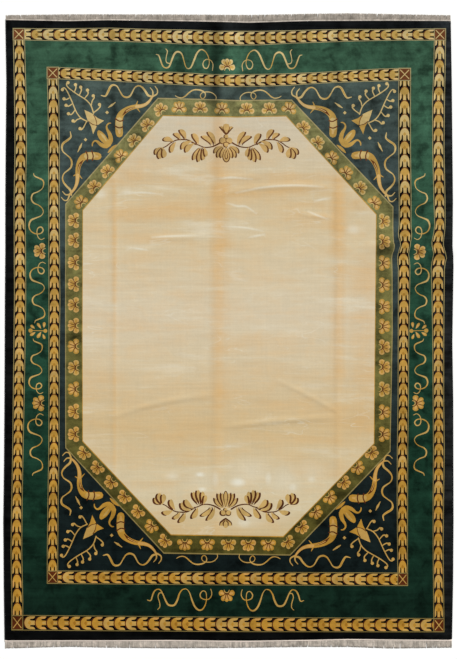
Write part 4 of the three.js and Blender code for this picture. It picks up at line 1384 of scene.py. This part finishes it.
# The overcast side cords: wool wound tightly round a warp cord, turn beside turn
overcast = {
    "pitch": 5.2,          # millimetres from turn to turn
    "sides": 9,
    "radius": 4.7,
    "groove": 0.6,
    "crown": 0.15,
    "turn": [(0.0, 1.0, 0.55), (0.34, 1.0, 1.0), (0.67, 1.0, 0.55), (0.86, 0.0, 0.0)],
    "slant": 1.1,          # each turn of wool runs a little aslant
    "drawnIn": 1.4,        # the stitches pull the cord against the pile
    "lift": 0.4,
    "endShort": 1.5,
    "endNarrow": 0.6,
    "colour": "0e0f10",
}


def overcastWool():
    material, tree = newMaterial("wool_overcast_black")
    place = objectPlace(tree)
    base = addNode(tree, "ShaderNodeRGB")
    base.outputs[0].default_value = hexLinear(overcast["colour"])
    value = mapped(tree, noiseOf(tree, place, 9.0, 4.0), 0.0, 1.0, 0.6, 1.5)
    return finished(material, {
        "Base Color": toned(tree, base.outputs[0], value), "Roughness": 0.9, "Specular IOR Level": 0.2,
        "Sheen Weight": 0.1, "Normal": bumpOf(tree, noiseOf(tree, place, 700.0, 4.0), 0.4, 0.0006)})


def sideCord(name, side, material):
    half = cloth["halfLength"] - overcast["endShort"]
    turns = int(2 * half // overcast["pitch"])
    shares, full, crowns = (np.array(column * turns) for column in zip(*overcast["turn"]))
    ys = (np.repeat(np.arange(turns), len(overcast["turn"])) + shares) / turns * 2 * half - half
    edgeX, edgeY = placeOf(np.full(len(ys), side * clothHalf), ys)
    middleX = edgeX + side * (cloth["gap"] + cloth["cordDiameter"] / 2 - overcast["drawnIn"])
    middleZ = liftAt(side * clothHalf, ys) + cloth["cordDiameter"] / 2 + overcast["lift"]
    radius = overcast["radius"] - overcast["groove"] * (1 - full) + crowns * overcast["crown"]
    radius[[0, -1]] *= overcast["endNarrow"]
    sides = overcast["sides"]
    turn = 2 * np.pi * (np.arange(sides) + 0.5) / sides
    x = middleX[:, None] + radius[:, None] * np.cos(turn)
    y = edgeY[:, None] + overcast["slant"] * side * np.cos(turn)
    z = middleZ[:, None] + radius[:, None] * np.sin(turn)
    rings = np.stack([x, y, z], -1).reshape(-1, 3) * mm
    cordFaces = []
    for r in range(len(ys) - 1):
        for s in range(sides):
            a, b = r * sides + s, r * sides + (s + 1) % sides
            cordFaces.append((a, a + sides, b + sides, b))
    last = (len(ys) - 1) * sides
    cordFaces += [tuple(range(sides)), tuple(range(last, last + sides))[::-1]]
    return newPiece(name, rings.tolist(), cordFaces, [material])


cordWool = overcastWool()
cords = {side: sideCord("overcast_" + side, sign, cordWool) for side, sign in (("left", -1), ("right", 1))}
print("side cords built")

# The warp ends: a flat woven strip along the pile's end, then loose cotton strands
warp = {
    "stripDepth": 9,
    "stripRibs": 4,
    "stripHeight": 6.0,
    "stripFoot": 0.4,         # height of its lower edges over the floor
    "stripColumns": 430,
    "ribDrop": 0.7,           # from the top of a rib down to its edge
    "sideShort": 1.5,
    "strandPitch": 3.3,       # millimetres from strand to strand
    "strandWidth": 5.4,
    "strandThickness": 1.7,
    "tuck": 1.2,              # how far a strand starts in under the strip
    "clump": 22.5,            # strands lean together over this length
    "clumpPull": 0.08,
    "lean": 5.0,
    "ownLean": 3.0,
    "sway": 1.5,
    "lengthSpread": 2.2,
    "stations": 6,
    "taperFrom": 0.85,
    "colour": ("6f685e", "cdc2b5"),
    "clean": "ebdccf",
}
warpEnds = {
    "head": {"side": 1, "seed": 11, "stripTone": 0.95, "strandTone": 0.77},
    # the foot's woven strip is painted much lighter, to outweigh the pile's shadow on it
    "foot": {"side": -1, "seed": 23, "stripTone": 3.2, "strandTone": 1.08},
}


def cottonWarp():
    material, tree = newMaterial("cotton_warp_undyed")
    place = objectPlace(tree)
    dust = noiseOf(tree, place, 26.0, 5.0, 0.6)
    tone = maths(tree, "MULTIPLY", attributeOf(tree, "strandTone"), dust)
    low, high, clean = (hexLinear(code) for code in (*warp["colour"], warp["clean"]))
    return finished(material, {
        "Base Color": rampOf(tree, tone, [(0.08, low), (0.62, high), (1.0, clean)]),
        "Roughness": 0.93, "Specular IOR Level": 0.15, "Sheen Weight": 0.1,
        "Normal": bumpOf(tree, noiseOf(tree, place, 900.0, 3.0), 0.5, 0.0005)})


def wovenStrip(look, left, right, edgeAt, draw):    # its outline is ribbed across its depth
    side, depthStep = look["side"], warp["stripDepth"] / warp["stripRibs"]
    top, foot = warp["stripHeight"], warp["stripFoot"]
    profile = [(0.0, foot)]
    for rib in range(warp["stripRibs"]):
        start = warp["stripDepth"] * rib / warp["stripRibs"]
        profile += [(start + 0.12 * depthStep, top - warp["ribDrop"]), (start + 0.5 * depthStep, top)]
    profile += [(warp["stripDepth"], top - warp["ribDrop"]), (warp["stripDepth"] + 0.3, foot)]
    points, faces, tones, k, columns = [], [], [], len(profile), warp["stripColumns"]
    for x in np.linspace(left, right, columns):
        tone = look["stripTone"] + 0.3 * draw.random()
        for depth, z in profile:
            ripple = 0.12 * math.sin(x * 1.7 + depth * 2.1)
            points.append((x, side * (edgeAt(x) + depth), z + ripple))
            tones.append(tone)
    for i in range(columns - 1):
        for j in range(k):
            a, b = i * k + j, i * k + (j + 1) % k
            faces.append((a, a + k, b + k, b)[::-side])
    last = (columns - 1) * k
    faces += [tuple(range(k))[::side], tuple(range(last, last + k))[::-side]]
    return points, faces, tones


def warpEnd(key, material):
    look = warpEnds[key]
    side, draw = look["side"], random.Random(look["seed"])
    width, flatEnd = cloth["halfWidth"], look["side"] * cloth["halfLength"]

    def edgeAt(x):
        drift = readTable(endDrift, "across", key, np.clip(x, -clothHalf, clothHalf))
        return cloth["halfLength"] + drift + cloth["gap"]

    left = -width - readTable(sideDrift, "along", "left", flatEnd) + warp["sideShort"]
    right = width + readTable(sideDrift, "along", "right", flatEnd) - warp["sideShort"]
    points, faces, tones = wovenStrip(look, left, right, edgeAt, draw)
    room, stations = right - left - 5, warp["stations"]
    count = int(room / warp["strandPitch"])
    for i in range(count):    # each strand is a three-sided tapering twist of cotton
        x0 = left + 2.5 + (i + 0.5) * room / count + 0.5 * (draw.random() - 0.5)
        clump = math.floor(x0 / warp["clump"])
        clumpDraw = random.Random(clump * 31 + look["seed"])
        clumpLean = warp["lean"] * (clumpDraw.random() - 0.5)
        clumpTone = 0.72 + 0.3 * clumpDraw.random()
        reach = float(readTable(endDrift, "across", key + "Fringe", x0)) - warp["stripDepth"] - 0.6
        reach += warp["lengthSpread"] * (draw.random() - 0.75)
        base = float(edgeAt(x0)) + warp["stripDepth"] - warp["tuck"]
        lean = clumpLean + warp["ownLean"] * (draw.random() - 0.5)
        lean += warp["clumpPull"] * ((clump + 0.5) * warp["clump"] - x0)
        sway, phase = warp["sway"] * (draw.random() - 0.5), draw.random() * 6.28
        tone = clumpTone * (0.72 + 0.5 * draw.random()) * look["strandTone"]
        start = len(points)
        for s in range(stations):
            share = s / (stations - 1)
            x = x0 + lean * share ** 1.3 + sway * math.sin(phase + share * 7)
            x = min(max(x, left + 1.6), right - 1.6)
            size = 1.0 if share < warp["taperFrom"] else 1.0 - 2.4 * (share - warp["taperFrom"])
            half = warp["strandWidth"] / 2 * size
            roof = (warp["strandThickness"] + 0.8 * draw.random()) * size
            low = 0.25 + 0.9 * (1 - share) * (i % 2)
            turn = 0.5 * math.sin(phase + share * 9)
            for px, pz in ((-half, low), (half, low), (half * turn, low + roof)):
                points.append((x + px, side * (base + reach * share), pz))
                tones.append(tone)
        for s in range(stations - 1):
            for c in range(3):
                a, b = start + 3 * s + c, start + 3 * s + (c + 1) % 3
                faces.append((a, b, b + 3, a + 3) if side < 0 else (a, a + 3, b + 3, b))
        tail = start + 3 * (stations - 1)
        faces.append((start, start + 2, start + 1) if side < 0 else (start, start + 1, start + 2))
        faces.append((tail, tail + 1, tail + 2) if side < 0 else (tail, tail + 2, tail + 1))
    piece = newPiece("warp_fringe_" + key, (np.array(points) * mm).tolist(), faces, [material])
    addAttribute(piece, "strandTone", tones)
    bpy.ops.object.select_all(action="DESELECT")
    bpy.context.view_layer.objects.active = piece
    piece.select_set(True)
    bpy.ops.object.mode_set(mode="EDIT")
    bpy.ops.mesh.select_all(action="SELECT")
    bpy.ops.mesh.normals_make_consistent(inside=False)
    bpy.ops.object.mode_set(mode="OBJECT")
    return piece


cotton = cottonWarp()
fringes = {key: warpEnd(key, cotton) for key in ("head", "foot")}
print("fringes built:", {key: len(piece.data.polygons) for key, piece in fringes.items()})

# What each piece stands for
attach(pile, "root")
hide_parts("rug_body")
for side, cord in cords.items():
    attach(cord, "root")
    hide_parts("selvedge_" + side)
for end, piece in fringes.items():
    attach(piece, "root")
    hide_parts("fringe_" + end)

# Studio: a white floor, one broad soft light from beyond the head, and an even white surround
studio = {
    "floorSize": 40.0,
    "floorColour": "fbfbf9",
    "surround": 0.28,
    "keyStrength": 3.45,
    "keyAngle": 18,       # how broad the key light is, in degrees
    "keyHeight": 46,      # its height over the horizon
    "keyTurn": 62,        # where it stands, counted from the right-hand side
}


def floorPaint():
    material, tree = newMaterial("matt_white_floor")
    pale = hexLinear(studio["floorColour"])
    greyer = (*(c * 0.99 for c in pale[:3]), 1.0)
    colour = rampOf(tree, noiseOf(tree, objectPlace(tree), 0.6), [(0.3, greyer), (0.7, pale)])
    return finished(material, {"Base Color": colour, "Roughness": 0.9, "Specular IOR Level": 0.1})


bpy.ops.object.select_all(action="DESELECT")
bpy.ops.mesh.primitive_plane_add(size=studio["floorSize"], location=(0, 0, 0))
floor = bpy.context.object
floor.name = "floor"
floor.data.materials.append(floorPaint())

bpy.ops.object.light_add(type="SUN", location=(0, 0, 6))
key = bpy.context.object
key.data.energy = studio["keyStrength"]
key.data.angle = math.radians(studio["keyAngle"])
height, turn = math.radians(studio["keyHeight"]), math.radians(studio["keyTurn"])
towards = Vector((math.cos(height) * math.cos(turn), math.cos(height) * math.sin(turn), math.sin(height)))
key.rotation_euler = towards.to_track_quat("Z", "Y").to_euler()
world = bpy.data.worlds.new("surround")
bpy.context.scene.world = world
world.use_nodes = True
background = world.node_tree.nodes["Background"]
background.inputs["Color"].default_value = (1, 1, 1, 1)
background.inputs["Strength"].default_value = studio["surround"]

# The camera looks straight down through a long lens, head of the rug uppermost
view = {"height": 10.0, "frameHeight": 4.492, "right": 0.00015, "up": 0.0092, "sensor": 36.0}
bpy.ops.object.camera_add(location=(view["right"], view["up"], view["height"]), rotation=(0, 0, 0))
camera = bpy.context.object
camera.data.sensor_fit = "VERTICAL"
camera.data.sensor_height = view["sensor"]
camera.data.lens = view["sensor"] * view["height"] / view["frameHeight"]
camera.data.clip_end = 100
bpy.context.scene.camera = camera
bpy.context.scene.view_settings.view_transform = "Standard"
print("studio set")
